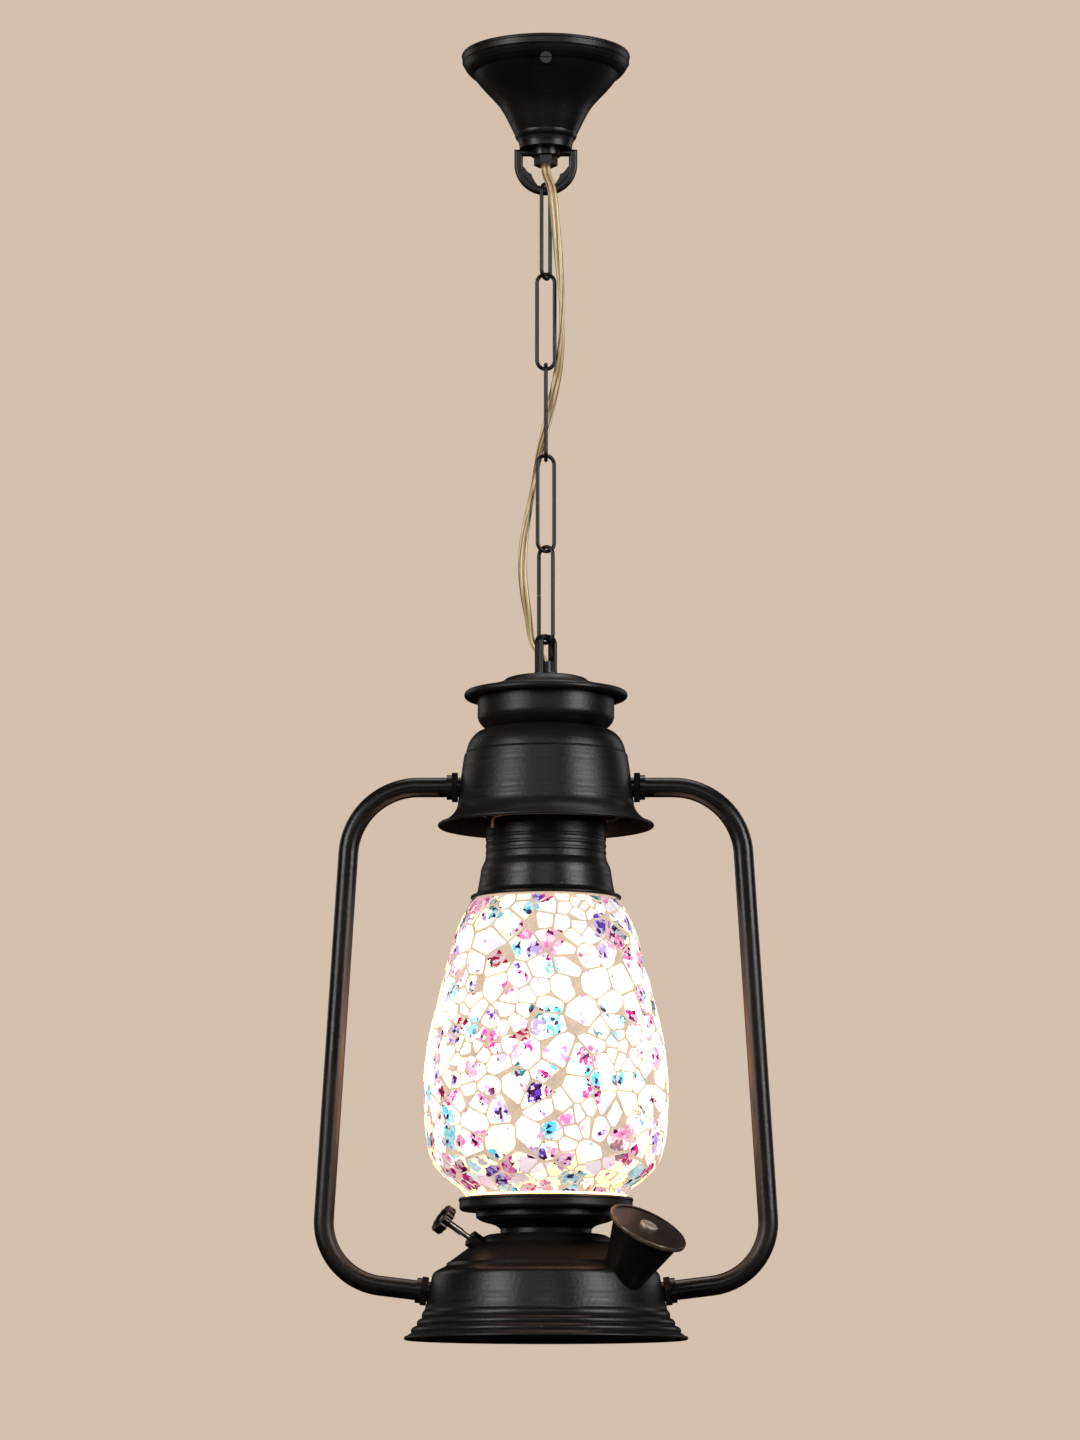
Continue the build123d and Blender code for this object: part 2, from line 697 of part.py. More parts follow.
knob_plane = Plane(origin=(KNOB_SEAT[0], KNOB_SEAT[1], low(KNOB_SEAT[2])), z_dir=KNOB_AXIS)
with BuildPart() as base:
    add(base_shell.part)
    for side in (-1, 1):
        with BuildSketch(tube_end(side, False, TUBE_IN_BASE)):
            Circle(TUBE_D / 2 + FIT)
        extrude(amount=3 * TUBE_D, mode=Mode.SUBTRACT)
    with BuildSketch(knob_plane):
        Circle(PIN_D / 2 + RUNNING)
    extrude(amount=-3 * PIN_IN, mode=Mode.SUBTRACT)
keep(base, "base")

# Side tubes, bent at the top and the bottom, with ferrules and nuts at both ends
lean = tan(radians(TUBE_SLANT))
rise = tan(radians(TUBE_RISE))
high_corner = UPRIGHT_X + (UPRIGHT_H - TUBE_HIGH) * lean
low_corner = (UPRIGHT_X + (UPRIGHT_H - TUBE_LOW + rise * LOW_WALL_R) * lean) / (1 + rise * lean)
for side, name in ((-1, "left"), (1, "right")):
    low_start = tube_end(side, False, TUBE_IN_BASE).origin
    with BuildPart() as tube:
        with BuildLine() as tube_line:
            FilletPolyline(
                (side * TUBE_IN_HOOD, 0, low(TUBE_HIGH)),
                (side * high_corner, 0, low(TUBE_HIGH)),
                (side * low_corner, 0, low(TUBE_LOW + rise * (low_corner - LOW_WALL_R))),
                (low_start.X, 0, low_start.Z),
                radius=TUBE_BENDS,
            )
        with BuildSketch(tube_end(side, True, TUBE_IN_HOOD)):
            Circle(TUBE_D / 2)
            Circle(TUBE_D / 2 - TUBE_WALL, mode=Mode.SUBTRACT)
        sweep()
    keep(tube, f"side_tube_{name}")

# Distances from the axis to each nut's inner face, in the hood and in the base
HOOD_NUT_IN = 38.1
HOOD_NUT_OUT = 44.5
BASE_NUT_IN = 53.6
BASE_NUT_OUT = 59.2
with BuildPart() as inner_nuts:
    for side in (-1, 1):
        for upper, out in ((True, HOOD_NUT_IN), (False, BASE_NUT_IN)):
            hexagon(TUBE_NUT_FLATS, TUBE_D / 2 + FIT, tube_end(side, upper, out), TUBE_NUT_THICK)
keep(inner_nuts, "tube_nuts_inner")

with BuildPart() as outer_nuts:
    for side in (-1, 1):
        for upper, out in ((True, HOOD_NUT_OUT), (False, BASE_NUT_OUT)):
            hexagon(TUBE_NUT_FLATS, TUBE_D / 2 + FIT, tube_end(side, upper, out), TUBE_NUT_THICK)
keep(outer_nuts, "tube_nuts_outer")

with BuildPart() as ferrules:
    for side in (-1, 1):
        for upper, out in ((True, HOOD_NUT_OUT), (False, BASE_NUT_OUT)):
            seat = tube_end(side, upper, out).offset(TUBE_NUT_THICK)
            ring(FERRULE_D / 2, TUBE_D / 2 + FIT, seat, FERRULE_LONG)
keep(ferrules, "tube_ferrules")

# Filler neck on the base's shoulder, its cap and the cap's screw
face_centre = (FILLER_FACE[0], FILLER_FACE[1], low(FILLER_FACE[2]))
filler_face = Plane(origin=face_centre, z_dir=FILLER_AXIS)
with BuildPart() as filler:
    for top_r, foot_r, mode in (
        (FILLER_TOP_R, FILLER_FOOT_R, Mode.ADD),
        (FILLER_TOP_R - FILLER_WALL, FILLER_FOOT_R - FILLER_WALL, Mode.SUBTRACT),
    ):
        with BuildSketch(filler_face.offset(-CAP_THICK)):
            Circle(top_r)
        with BuildSketch(filler_face.offset(-FILLER_LONG)):
            Circle(foot_r)
        loft(mode=mode)
    add(base_filled.part, mode=Mode.SUBTRACT)
keep(filler, "filler_neck")

CAP_LIP = 1.1
with BuildPart() as fuel_cap:
    ring(CAP_R, 0, filler_face.offset(-CAP_THICK), CAP_THICK)
    rim_edges = fuel_cap.edges().filter_by(GeomType.CIRCLE)
    fillet(rim_edges, CAP_LIP)
    with BuildSketch(filler_face):
        Circle(CAP_R - 2 * CAP_LIP)
    extrude(amount=-CAP_LIP / 2, mode=Mode.SUBTRACT)
    with BuildSketch(filler_face):
        Circle(CAP_SCREW_D / 2 + FIT)
    extrude(amount=-CAP_THICK, mode=Mode.SUBTRACT)
keep(fuel_cap, "fuel_cap")

cap_floor = filler_face.offset(-CAP_LIP / 2)
CAP_HEAD_THICK = 1.4
CAP_HEAD_ROUND = 0.5
CAP_SLOT = (1.2, 0.8)  # width and depth
with BuildPart() as cap_screw:
    ring(CAP_SCREW_HEAD / 2, 0, cap_floor, CAP_HEAD_THICK)
    head_rim = cap_screw.edges().filter_by(GeomType.CIRCLE).sort_by(Axis.Z)[-1]
    fillet(head_rim, CAP_HEAD_ROUND)
    ring(CAP_SCREW_D / 2, 0, cap_floor, -4 * CAP_THICK)
    with BuildSketch(cap_floor.offset(CAP_HEAD_THICK)):
        Rectangle(CAP_SCREW_HEAD, CAP_SLOT[0], rotation=25)
    extrude(amount=-CAP_SLOT[1], mode=Mode.SUBTRACT)
keep(cap_screw, "fuel_cap_screw")

# Wick knob: a bush on the shoulder, a stepped pin that turns in it, and a lobed wheel
with BuildPart() as bush:
    hexagon(BUSH_FLATS, PIN_D / 2 + RUNNING, knob_plane.offset(BUSH_THICK), -3 * BUSH_THICK)
    add(base_filled.part, mode=Mode.SUBTRACT)
keep(bush, "knob_bush")

PIN_STEP = 8.0  # where the pin grows thicker
PIN_END = KNOB_OUT + KNOB_THICK - 0.4  # just inside the wheel's front
with BuildPart() as pin:
    ring(PIN_D / 2, 0, knob_plane.offset(-PIN_IN), PIN_IN + PIN_STEP)
    ring(PIN_THICK_D / 2, 0, knob_plane.offset(PIN_STEP), PIN_END - PIN_STEP)
keep(pin, "wick_pin")

LOBE_R = 1.5
DISH_DEEP = 1.2
with BuildPart() as wheel:
    with BuildSketch(knob_plane.offset(KNOB_OUT)):
        Circle(KNOB_R - LOBE_R / 2)
        with PolarLocations(KNOB_R - LOBE_R, KNOB_LOBES):
            Circle(LOBE_R)
        Circle(PIN_THICK_D / 2 + FIT, mode=Mode.SUBTRACT)
    extrude(amount=KNOB_THICK)
    with BuildSketch(knob_plane.offset(KNOB_OUT + KNOB_THICK)):
        Circle(KNOB_R - 2 * LOBE_R)
    extrude(amount=-DISH_DEEP, mode=Mode.SUBTRACT)
keep(wheel, "wick_knob")

# Lamp holder on the long nipple: shell, core with the contacts, and threaded sleeve
holder = spun(
    at_heights(
        [(STEM_D / 2 + FIT, HOLDER_TOP), (15.0, HOLDER_TOP)],
        [(15.0, HOLDER_TOP), (18.6, 240.4), (HOLDER_R, 236.8)],
        [(HOLDER_R, 236.8), (HOLDER_R, HOLDER_FOOT)],
    ),
    wall=HOLDER_WALL,
)
keep(holder, "lamp_holder")

core_top = STEM_FOOT
with BuildPart() as core:
    ring(CORE_R, 0, Plane.XY.offset(low(CORE_FOOT)), core_top - CORE_FOOT - 2)
    ring(4.0, 0, Plane.XY.offset(low(CORE_FOOT)), -2)
    with BuildSketch(Plane.XY.offset(low(core_top))):
        Circle(STEM_D / 2)
    extrude(amount=-2)
keep(core, "holder_core")

with BuildPart() as sleeve:
    ring(SLEEVE_R, SLEEVE_BORE, Plane.XY.offset(low(HOLDER_FOOT + 4)), CORE_FOOT - HOLDER_FOOT - 4)
keep(sleeve, "holder_sleeve")

# Bulb: a cap that turns in the sleeve and a glass envelope
with BuildPart() as bulb_cap:
    ring(BULB_CAP_R, 0, Plane.XY.offset(low(BULB_TOP)), BULB_CAP_TOP - BULB_TOP - 6)
    with BuildSketch(Plane.XY.offset(low(BULB_CAP_TOP - 6))):
        Circle(BULB_CAP_R)
    with BuildSketch(Plane.XY.offset(low(BULB_CAP_TOP))):
        Circle(5.0)
    loft()
keep(bulb_cap, "bulb_cap")

bulb_middle = BULB_FOOT + BULB_R
with BuildPart() as bulb:
    with BuildSketch(Plane.XZ):
        with BuildLine():
            for inset in (0, BULB_WALL):
                Spline(
                    (BULB_CAP_R - BULB_WALL - inset, low(BULB_TOP)),
                    (18.0 - inset, low(175.0)),
                    (26.0 - inset, low(159.0)),
                    (BULB_R - inset, low(bulb_middle)),
                    tangents=((0, -1), (0, -1)),
                )
                CenterArc((0, low(bulb_middle)), BULB_R - inset, 0, -90)
            Line((0, low(BULB_FOOT)), (0, low(BULB_FOOT + BULB_WALL)))
            Line(
                (BULB_CAP_R - BULB_WALL, low(BULB_TOP)),
                (BULB_CAP_R - 2 * BULB_WALL, low(BULB_TOP)),
            )
        make_face()
    revolve(axis=Axis.Z)
keep(bulb, "bulb_glass")


# Flex: one tube along its route, cut at the middle of each link into a piece for each joint
def corner_radii(route):
    """The largest arc that each corner of the route has room for."""
    radii = []
    for before, here, after in zip(route, route[1:], route[2:]):
        run_in = Vector(*here) - Vector(*before)
        run_out = Vector(*after) - Vector(*here)
        half_turn = radians(run_in.get_angle(run_out)) / 2
        radii.append(0.45 * min(run_in.length, run_out.length) / tan(half_turn))
    return radii


flex_radii = corner_radii(FLEX_ROUTE)
with BuildPart() as flex:
    with BuildLine() as flex_line:
        FilletPolyline(*FLEX_ROUTE, radius=flex_radii)
    with BuildSketch(Plane(origin=flex_line.line @ 0, z_dir=flex_line.line % 0)):
        Circle(FLEX_D / 2)
    sweep()
flex_long = sum(edge.length for edge in flex_line.edges())
print(f"flex: {flex_long:.1f} mm long, radii", [round(r, 1) for r in flex_radii])
print(f"flex: volume {flex.part.volume:.1f}, section times length {pi * FLEX_D**2 / 4 * flex_long:.1f}")

flex_cuts = [FLEX_ROUTE[0][2] + FLEX_D, *link_middles, FLEX_ROUTE[-1][2] - FLEX_D]
for number, (top, foot) in enumerate(zip(flex_cuts, flex_cuts[1:]), 1):
    with BuildPart() as stretch:
        add(flex.part)
        split(bisect_by=Plane.XY.offset(top), keep=Keep.BOTTOM)
        split(bisect_by=Plane.XY.offset(foot), keep=Keep.TOP)
    keep(stretch, f"flex_{number}")
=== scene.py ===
"""Looks of the hanging lantern: its mosaic globe, twin flex, spring, rolled hems, paint and stage.

Everything is in metres, in the lantern's own frame: the origin is on the ceiling, +Z is up and the
lantern faces -Y. The pieces' places come from the frame.
"""

import random
from math import atan2, cos, exp, hypot, pi, radians, sin

import bpy
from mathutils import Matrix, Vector, noise


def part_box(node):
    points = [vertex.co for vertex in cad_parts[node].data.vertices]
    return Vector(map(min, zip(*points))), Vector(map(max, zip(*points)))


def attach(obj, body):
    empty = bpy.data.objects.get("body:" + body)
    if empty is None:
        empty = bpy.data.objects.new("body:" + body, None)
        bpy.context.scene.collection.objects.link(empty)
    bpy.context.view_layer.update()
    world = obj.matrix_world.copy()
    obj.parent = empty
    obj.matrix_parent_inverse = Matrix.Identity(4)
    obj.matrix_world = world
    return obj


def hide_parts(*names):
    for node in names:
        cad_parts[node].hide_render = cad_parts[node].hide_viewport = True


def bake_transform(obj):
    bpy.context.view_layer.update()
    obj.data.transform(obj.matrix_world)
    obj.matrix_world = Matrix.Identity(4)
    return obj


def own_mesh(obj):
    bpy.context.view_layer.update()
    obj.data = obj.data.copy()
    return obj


bl_info = {
    "name": "Hanging lantern looks",
    "version": (1, 0, 0),
    "blender": (4, 5, 0),
    "location": "3D View > Sidebar > Lantern",
    "description": "Mosaic globe, twin flex, spring, hems, paint and stage of a hanging lantern",
    "category": "Object",
}

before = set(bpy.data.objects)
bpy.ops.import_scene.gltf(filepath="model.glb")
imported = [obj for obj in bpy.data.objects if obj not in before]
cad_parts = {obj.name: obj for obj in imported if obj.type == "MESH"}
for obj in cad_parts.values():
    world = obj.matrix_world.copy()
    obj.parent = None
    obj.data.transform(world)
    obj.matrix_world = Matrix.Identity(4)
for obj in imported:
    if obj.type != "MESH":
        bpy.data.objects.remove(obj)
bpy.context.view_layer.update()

MM = 0.001
LINKS = [f"link_{k}" for k in range(1, 6)]

# Route of the flex from the cup's nipple to the lantern's
FLEX_ROUTE = (
    (0, 0, -0.0585),
    (0, 0, -0.062),
    (0.0009, -0.002, -0.0656),
    (0.0026, -0.0052, -0.070),
    (0.0038, -0.0066, -0.077),
    (0.0049, -0.0056, -0.090),
    (0.0066, -0.004, -0.108),
    (0.008, -0.003, -0.125),
    (0.0083, -0.001, -0.143),
    (0.0076, 0.0025, -0.156),
    (0.0057, 0.006, -0.169),
    (0.00275, 0.0085, -0.182),
    (0, 0.009, -0.1945),
    (-0.0028, 0.008, -0.205),
    (-0.005, 0.005, -0.217),
    (-0.008, 0.002, -0.235),
    (-0.0105, 0, -0.248),
    (-0.0118, -0.001, -0.261),
    (-0.012, -0.0012, -0.271),
    (-0.0108, 0, -0.283),
    (-0.0089, 0.003, -0.293),
    (-0.008, 0.0052, -0.3015),
    (-0.0064, 0.0048, -0.3074),
    (-0.0036, 0.0028, -0.3116),
    (-0.001, 0.0008, -0.3146),
    (0, 0, -0.3178),
    (0, 0, -0.321),
)


def length_property(name, description, default):
    """A length that a user may change."""
    return bpy.props.FloatProperty(
        name=name, description=description, default=default, unit="LENGTH"
    )


def colour_property(name, description, default):
    """A colour that a user may change."""
    return bpy.props.FloatVectorProperty(
        name=name, description=description, default=default, size=3, min=0, max=1, subtype="COLOR"
    )


class LanternSizes(bpy.types.PropertyGroup):
    """Sizes of the pieces that dress the lantern."""

    core_radius: length_property("Core radius", "Each insulated core of the flex", 1.2 * MM)
    core_spread: length_property("Core spread", "From the flex's middle to a core's middle", 1.12 * MM)
    flex_straight: length_property("Flex before its twist", "From the cup's nipple", 34 * MM)
    flex_twist: length_property("Flex twist", "Length in which the flex turns once", 180 * MM)
    hem_radius: length_property("Hem radius", "Rolled edges of the sheet metal", 1.0 * MM)
    hem_sheet: length_property("Hem sheet", "Thickness of a rolled edge", 0.35 * MM)
    chip_small: length_property("Small chip", "Spacing where the chips are smallest", 5.0 * MM)
    chip_large: length_property("Large chip", "Spacing where the chips are largest", 17.0 * MM)
    chip_thick: length_property("Chip thickness", "Mosaic chips", 1.7 * MM)
    chip_round: length_property("Chip edge", "Rounding of the chips' edges", 0.5 * MM)
    grout_gap: length_property("Grout gap", "Between two chips", 0.95 * MM)
    grout_sunk: length_property("Grout depth", "From the chips' tops to the grout", 0.9 * MM)
    globe_wall: length_property("Globe wall", "Glass behind the grout", 2.0 * MM)
    spring_wire: length_property("Spring wire", "Diameter of the spring's wire", 1.4 * MM)


class LanternColours(bpy.types.PropertyGroup):
    """Colours of the finishes."""

    paint: colour_property("Paint", "Satin black paint", (0.005, 0.004, 0.0032))
    chain: colour_property("Chain", "Blackened chain", (0.006, 0.0055, 0.005))
    steel: colour_property("Steel", "Bare steel", (0.55, 0.53, 0.5))
    brass: colour_property("Brass", "Plain brass", (0.7, 0.5, 0.22))
    copper: colour_property("Copper", "Flex cores seen through the sheath", (1.0, 0.75, 0.4))
    grout: colour_property("Grout", "Cement between the chips", (0.8, 0.61, 0.46))
    glow: colour_property("Glow", "Lamp light through pale glass", (1.0, 0.93, 0.78))
    backdrop: colour_property("Backdrop", "Studio background and floor", (0.651, 0.527, 0.42))


def sizes():
    """The sizes as the scene holds them."""
    return bpy.context.scene.lantern_sizes


def colours():
    """The colours as the scene holds them."""
    return bpy.context.scene.lantern_colours


def opaque(colour):
    """A colour with full alpha."""
    return (*colour, 1.0)


# Finishes


def new_finish(name):
    """An empty finish: the material, its node tree and its shader."""
    finish = bpy.data.materials.new(name)
    finish.use_nodes = True
    return finish, finish.node_tree, finish.node_tree.nodes["Principled BSDF"]


def put(tree, kind, settings=None, values=None, links=None):
    """Add a node, with its settings, its plain inputs and what is linked to it."""
    node = tree.nodes.new(kind)
    for name, value in (settings or {}).items():
        setattr(node, name, value)
    for socket, value in (values or {}).items():
        node.inputs[socket].default_value = value
    for socket, source in (links or {}).items():
        tree.links.new(source, node.inputs[socket])
    return node


def ramp(tree, factor, stops, interpolation="LINEAR"):
    """A colour ramp of (place, colour) stops on a factor."""
    node = put(tree, "ShaderNodeValToRGB", links={"Fac": factor})
    node.color_ramp.interpolation = interpolation
    elements = node.color_ramp.elements
    while len(elements) < len(stops):
        elements.new(1.0)
    for element, (place, colour) in zip(elements, stops):
        element.position = place
        element.color = opaque(colour)
    return node.outputs["Color"]


# Places of a Mix node's factor, two colours and result among its sockets
MIX_FACTOR = 0
MIX_FIRST = 6
MIX_SECOND = 7
MIX_RESULT = 2


def mixed(tree, factor, first, second, blend="MIX"):
    """Two colours mixed by a factor; each is a socket or a plain value."""
    node = put(tree, "ShaderNodeMix", {"data_type": "RGBA", "blend_type": blend})
    for place, given in ((MIX_FACTOR, factor), (MIX_FIRST, first), (MIX_SECOND, second)):
        if isinstance(given, bpy.types.NodeSocket):
            tree.links.new(given, node.inputs[place])
        else:
            node.inputs[place].default_value = given if place == MIX_FACTOR else opaque(given)
    return node.outputs[MIX_RESULT]


def spread(tree, value, low, high, from_low=0.0, from_high=1.0):
    """A value mapped onto another range."""
    values = {"From Min": from_low, "From Max": from_high, "To Min": low, "To Max": high}
    return put(tree, "ShaderNodeMapRange", None, values, {"Value": value}).outputs["Result"]


def cloud(tree, where, scale, detail=2.0):
    """Soft noise on a coordinate."""
    values = {"Scale": scale, "Detail": detail}
    return put(tree, "ShaderNodeTexNoise", None, values, {"Vector": where}).outputs["Fac"]


def object_place(tree):
    """The coordinate that the patterns are drawn on, all but the flex's."""
    return put(tree, "ShaderNodeTexCoord").outputs["Object"]


def bump(tree, height, strength, depth, below=None):
    """A bump, over another bump where one is given."""
    links = {"Height": height}
    if below is not None:
        links["Normal"] = below
    values = {"Strength": strength, "Distance": depth}
    return put(tree, "ShaderNodeBump", None, values, links).outputs["Normal"]


def feed(tree, shader, links):
    """Link a source to each of a shader's inputs that is named."""
    for socket, source in links.items():
        tree.links.new(source, shader.inputs[socket])


def fix(shader, values):
    """Give a shader's inputs their plain values."""
    for socket, value in values.items():
        shader.inputs[socket].default_value = value


def worked_out(tree, operation, first, second):
    """Two values put through a math node."""
    node = put(tree, "ShaderNodeMath", {"operation": operation}, None, {0: first, 1: second})
    return node.outputs["Value"]


# The scales of the patterns below are in marks to the metre
RING_SCALE = 620.0
RING_LEAN = 0.8  # how much a step outwards counts beside a step upwards


def spin_marks(tree, where):
    """Fine rings that the spinning tool leaves round the lantern's axis."""
    parts = put(tree, "ShaderNodeSeparateXYZ", links={"Vector": where}).outputs
    flat = put(tree, "ShaderNodeCombineXYZ", links={"X": parts["X"], "Y": parts["Y"]})
    out = put(tree, "ShaderNodeVectorMath", {"operation": "LENGTH"}, None, {0: flat.outputs["Vector"]})
    links = {0: out.outputs["Value"], 2: parts["Z"]}
    along = put(tree, "ShaderNodeMath", {"operation": "MULTIPLY_ADD"}, {1: RING_LEAN}, links)
    settings = {"noise_dimensions": "1D"}
    values = {"Scale": RING_SCALE, "Detail": 3.0}
    marks = put(tree, "ShaderNodeTexNoise", settings, values, {"W": along.outputs["Value"]})
    return marks.outputs["Fac"]


RUBBED_PATCHES = 22.0
RUBBED_WARMER = (2.6, 2.1, 1.7)  # red, green and blue of a rubbed patch, as multiples of the paint's
PAINT_PITS = 210.0
PITTED_AREAS = 55.0
PIT_DUST = (0.11, 0.1, 0.09)
PIT_EDGE = (0.02, 0.018, 0.016)
ORANGE_PEEL = 520.0
SPUN_ROUGH = 0.37
SPRAYED_ROUGH = 0.32
CHAIN_ROUGH = 0.3


def satin_paint(name, colour, roughness, turned=False):
    """Sprayed satin black with orange peel, pits and rubbed patches; spun sheet has tool rings too."""
    finish, tree, shader = new_finish(name)
    where = object_place(tree)
    patches = cloud(tree, where, RUBBED_PATCHES, 3.0)
    warm = tuple(min(1.0, c * k) for c, k in zip(colour, RUBBED_WARMER))
    painted = ramp(tree, patches, [(0.35, colour), (0.72, warm)])
    pits = put(tree, "ShaderNodeTexVoronoi", None, {"Scale": PAINT_PITS}, {"Vector": where})
    pit_mask = spread(tree, pits.outputs["Distance"], 0.0, 1.0, 0.06, 0.13)
    dusty = ramp(tree, pit_mask, [(0.0, PIT_DUST), (0.35, PIT_EDGE)])
    sound = spread(tree, cloud(tree, where, PITTED_AREAS), 1.0, 0.0, 0.62, 0.66)
    whole = worked_out(tree, "MAXIMUM", pit_mask, sound)
    normal = bump(tree, cloud(tree, where, ORANGE_PEEL, 1.0), 0.5, 0.17 * MM)
    if turned:
        rings = spin_marks(tree, where)
        normal = bump(tree, rings, 0.3, 0.12 * MM, normal)
        dull = worked_out(tree, "MULTIPLY", patches, rings)
        rough = spread(tree, dull, roughness - 0.06, roughness + 0.14, 0.1, 0.45)
    else:
        rough = spread(tree, patches, roughness - 0.05, roughness + 0.1, 0.3, 0.7)
    links = {
        "Base Color": mixed(tree, whole, dusty, painted),
        "Roughness": rough,
        "Normal": bump(tree, whole, 0.4, 0.1 * MM, normal),
    }
    feed(tree, shader, links)
    fix(shader, {"Specular IOR Level": 0.5})
    return finish


SCRATCHES = 500.0
SCRATCH_STRETCH = (1.0, 1.0, 6.0)
STAINS = 120.0


def bare_metal(name, colour, roughness, stain, metallic=1.0):
    """Bare metal with fine scratches and stains."""
    finish, tree, shader = new_finish(name)
    where = object_place(tree)
    stretched = put(tree, "ShaderNodeMapping", None, {"Scale": SCRATCH_STRETCH}, {"Vector": where})
    scratches = cloud(tree, stretched.outputs["Vector"], SCRATCHES, 4.0)
    links = {
        "Base Color": ramp(tree, cloud(tree, where, STAINS, 3.0), [(0.4, colour), (0.75, stain)]),
        "Roughness": spread(tree, scratches, roughness - 0.08, roughness + 0.15),
        "Normal": bump(tree, scratches, 0.15, 0.05 * MM),
    }
    feed(tree, shader, links)
    fix(shader, {"Metallic": metallic})
    return finish


MOULDED_GRAIN = 1500.0
MOULDED_CLOUDS = 90.0
MOULDED_SHADE = 0.8  # of the colour, in its darker clouds


def moulded(name, colour, roughness):
    """Moulded plastic or ceramic with a fine grain."""
    finish, tree, shader = new_finish(name)
    where = object_place(tree)
    grain = cloud(tree, where, MOULDED_GRAIN)
    shade = tuple(c * MOULDED_SHADE for c in colour)
    links = {
        "Base Color": ramp(tree, cloud(tree, where, MOULDED_CLOUDS), [(0.3, colour), (0.8, shade)]),
        "Roughness": spread(tree, grain, roughness - 0.05, roughness + 0.08),
        "Normal": bump(tree, grain, 0.1, 0.05 * MM),
    }
    feed(tree, shader, links)
    return finish


CAP_RIM = (20.8 * MM, 21.5 * MM)  # from the cap's middle: where the paint ends and the metal begins
CAP_RAGGED = 1.6 * MM
CAP_RAG_SCALE = 260.0
CAP_BROWN = ((0.009, 0.005, 0.0035), (0.024, 0.013, 0.008))
CAP_BROWN_SCALE = 70.0
CAP_METAL = ((0.2, 0.13, 0.08), (0.42, 0.32, 0.24))
CAP_METAL_SCALE = 300.0
CAP_GRAIN = 700.0


def worn_cap(name):
    """The fuel cap's paint, worn to a dark brown, with bare metal on its rim."""
    finish, tree, shader = new_finish(name)
    where = object_place(tree)
    low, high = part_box("fuel_cap")
    middle = (low + high) / 2
    away = put(tree, "ShaderNodeVectorMath", {"operation": "DISTANCE"}, {1: middle}, {0: where})
    links = {0: cloud(tree, where, CAP_RAG_SCALE, 4.0), 2: away.outputs["Value"]}
    ragged = put(tree, "ShaderNodeMath", {"operation": "MULTIPLY_ADD"}, {1: CAP_RAGGED}, links)
    rim = spread(tree, ragged.outputs["Value"], 0.0, 1.0, *CAP_RIM)
    brown = ramp(tree, cloud(tree, where, CAP_BROWN_SCALE, 4.0), list(zip((0.3, 0.75), CAP_BROWN)))
    metal = ramp(tree, cloud(tree, where, CAP_METAL_SCALE), list(zip((0.3, 0.7), CAP_METAL)))
    links = {
        "Base Color": mixed(tree, rim, brown, metal),
        "Roughness": spread(tree, rim, 0.42, 0.3),
        "Metallic": spread(tree, rim, 0.0, 0.8),
        "Normal": bump(tree, cloud(tree, where, CAP_GRAIN), 0.15, 0.1 * MM),
    }
    feed(tree, shader, links)
    return finish


STRAND_LINES = 3  # dark lines round each core
WAVE_SCALE = 2 * pi / 20  # at which a wave texture repeats once in a unit
STRAND_SHADE = (0.24, 0.16, 0.1)  # red, green and blue between the strands, as shares of the copper's


def sheathed_copper(name, colour):
    """Copper cores seen through a clear sheath; the lines follow the flex's own UV map."""
    finish, tree, shader = new_finish(name)
    round_about = put(tree, "ShaderNodeTexCoord").outputs["UV"]
    settings = {"bands_direction": "X", "wave_profile": "SIN"}
    values = {"Scale": STRAND_LINES * WAVE_SCALE, "Distortion": 0.6, "Detail": 1.0}
    strands = put(tree, "ShaderNodeTexWave", settings, values, {"Vector": round_about}).outputs["Fac"]
    deep = tuple(c * k for c, k in zip(colour, STRAND_SHADE))
    links = {
        "Base Color": ramp(tree, strands, [(0.05, deep), (0.42, colour)]),
        "Normal": bump(tree, strands, 0.3, 0.1 * MM),
    }
    feed(tree, shader, links)
    fix(shader, {"Metallic": 0.1, "Roughness": 0.38, "Coat Weight": 1.0, "Coat Roughness": 0.12})
    return finish


def wobbled(tree, where, scale, reach):
    """A coordinate shaken by noise, for ragged edges."""
    values = {"Scale": scale, "Detail": 2.0}
    shake = put(tree, "ShaderNodeTexNoise", None, values, {"Vector": where}).outputs["Color"]
    settings = {"operation": "MULTIPLY_ADD"}
    moved = put(tree, "ShaderNodeVectorMath", settings, {1: (reach,) * 3}, {0: shake, 2: where})
    return moved.outputs["Vector"]


def random_cells(tree, where, scale):
    """Random cells on a coordinate: the distance to each cell's middle and three random numbers."""
    values = {"Scale": scale, "Randomness": 1.0}
    cells = put(tree, "ShaderNodeTexVoronoi", None, values, {"Vector": where})
    drawn = put(tree, "ShaderNodeSeparateColor", links={"Color": cells.outputs["Color"]}).outputs
    return cells.outputs["Distance"], drawn["Red"], drawn["Green"], drawn["Blue"]


# Where each colour of the fused spots begins, as a share of all the spots, and the colour
SPOT_COLOURS = (
    (0.0, (0.9, 0.22, 0.5)),
    (0.3, (0.72, 0.03, 0.26)),
    (0.42, (0.12, 0.62, 0.78)),
    (0.66, (0.85, 0.36, 0.6)),
    (0.76, (0.12, 0.04, 0.42)),
    (0.84, (0.02, 0.16, 0.2)),
    (0.89, (0.3, 0.01, 0.04)),
    (0.94, (0.5, 0.36, 0.8)),
)
SPOT_SCALE = 100.0  # one spot in each mark at most
SPOT_RAG_SCALE = 330.0
SPOT_RAGGED = 5.0 * MM
SPOT_SIZE = (0.34, 1.0)  # smallest and largest, in marks
SPOT_LOST = 0.16  # taken off a spot's size on the brightest chips
SPOT_EDGE = 0.05
SOFT_SPOTS = (0.62, 0.7)  # of the random numbers: spots above these are pastel
SPOT_GLOW = 0.16  # of the clear glass beside a spot
PASTEL_GLOW = 0.24
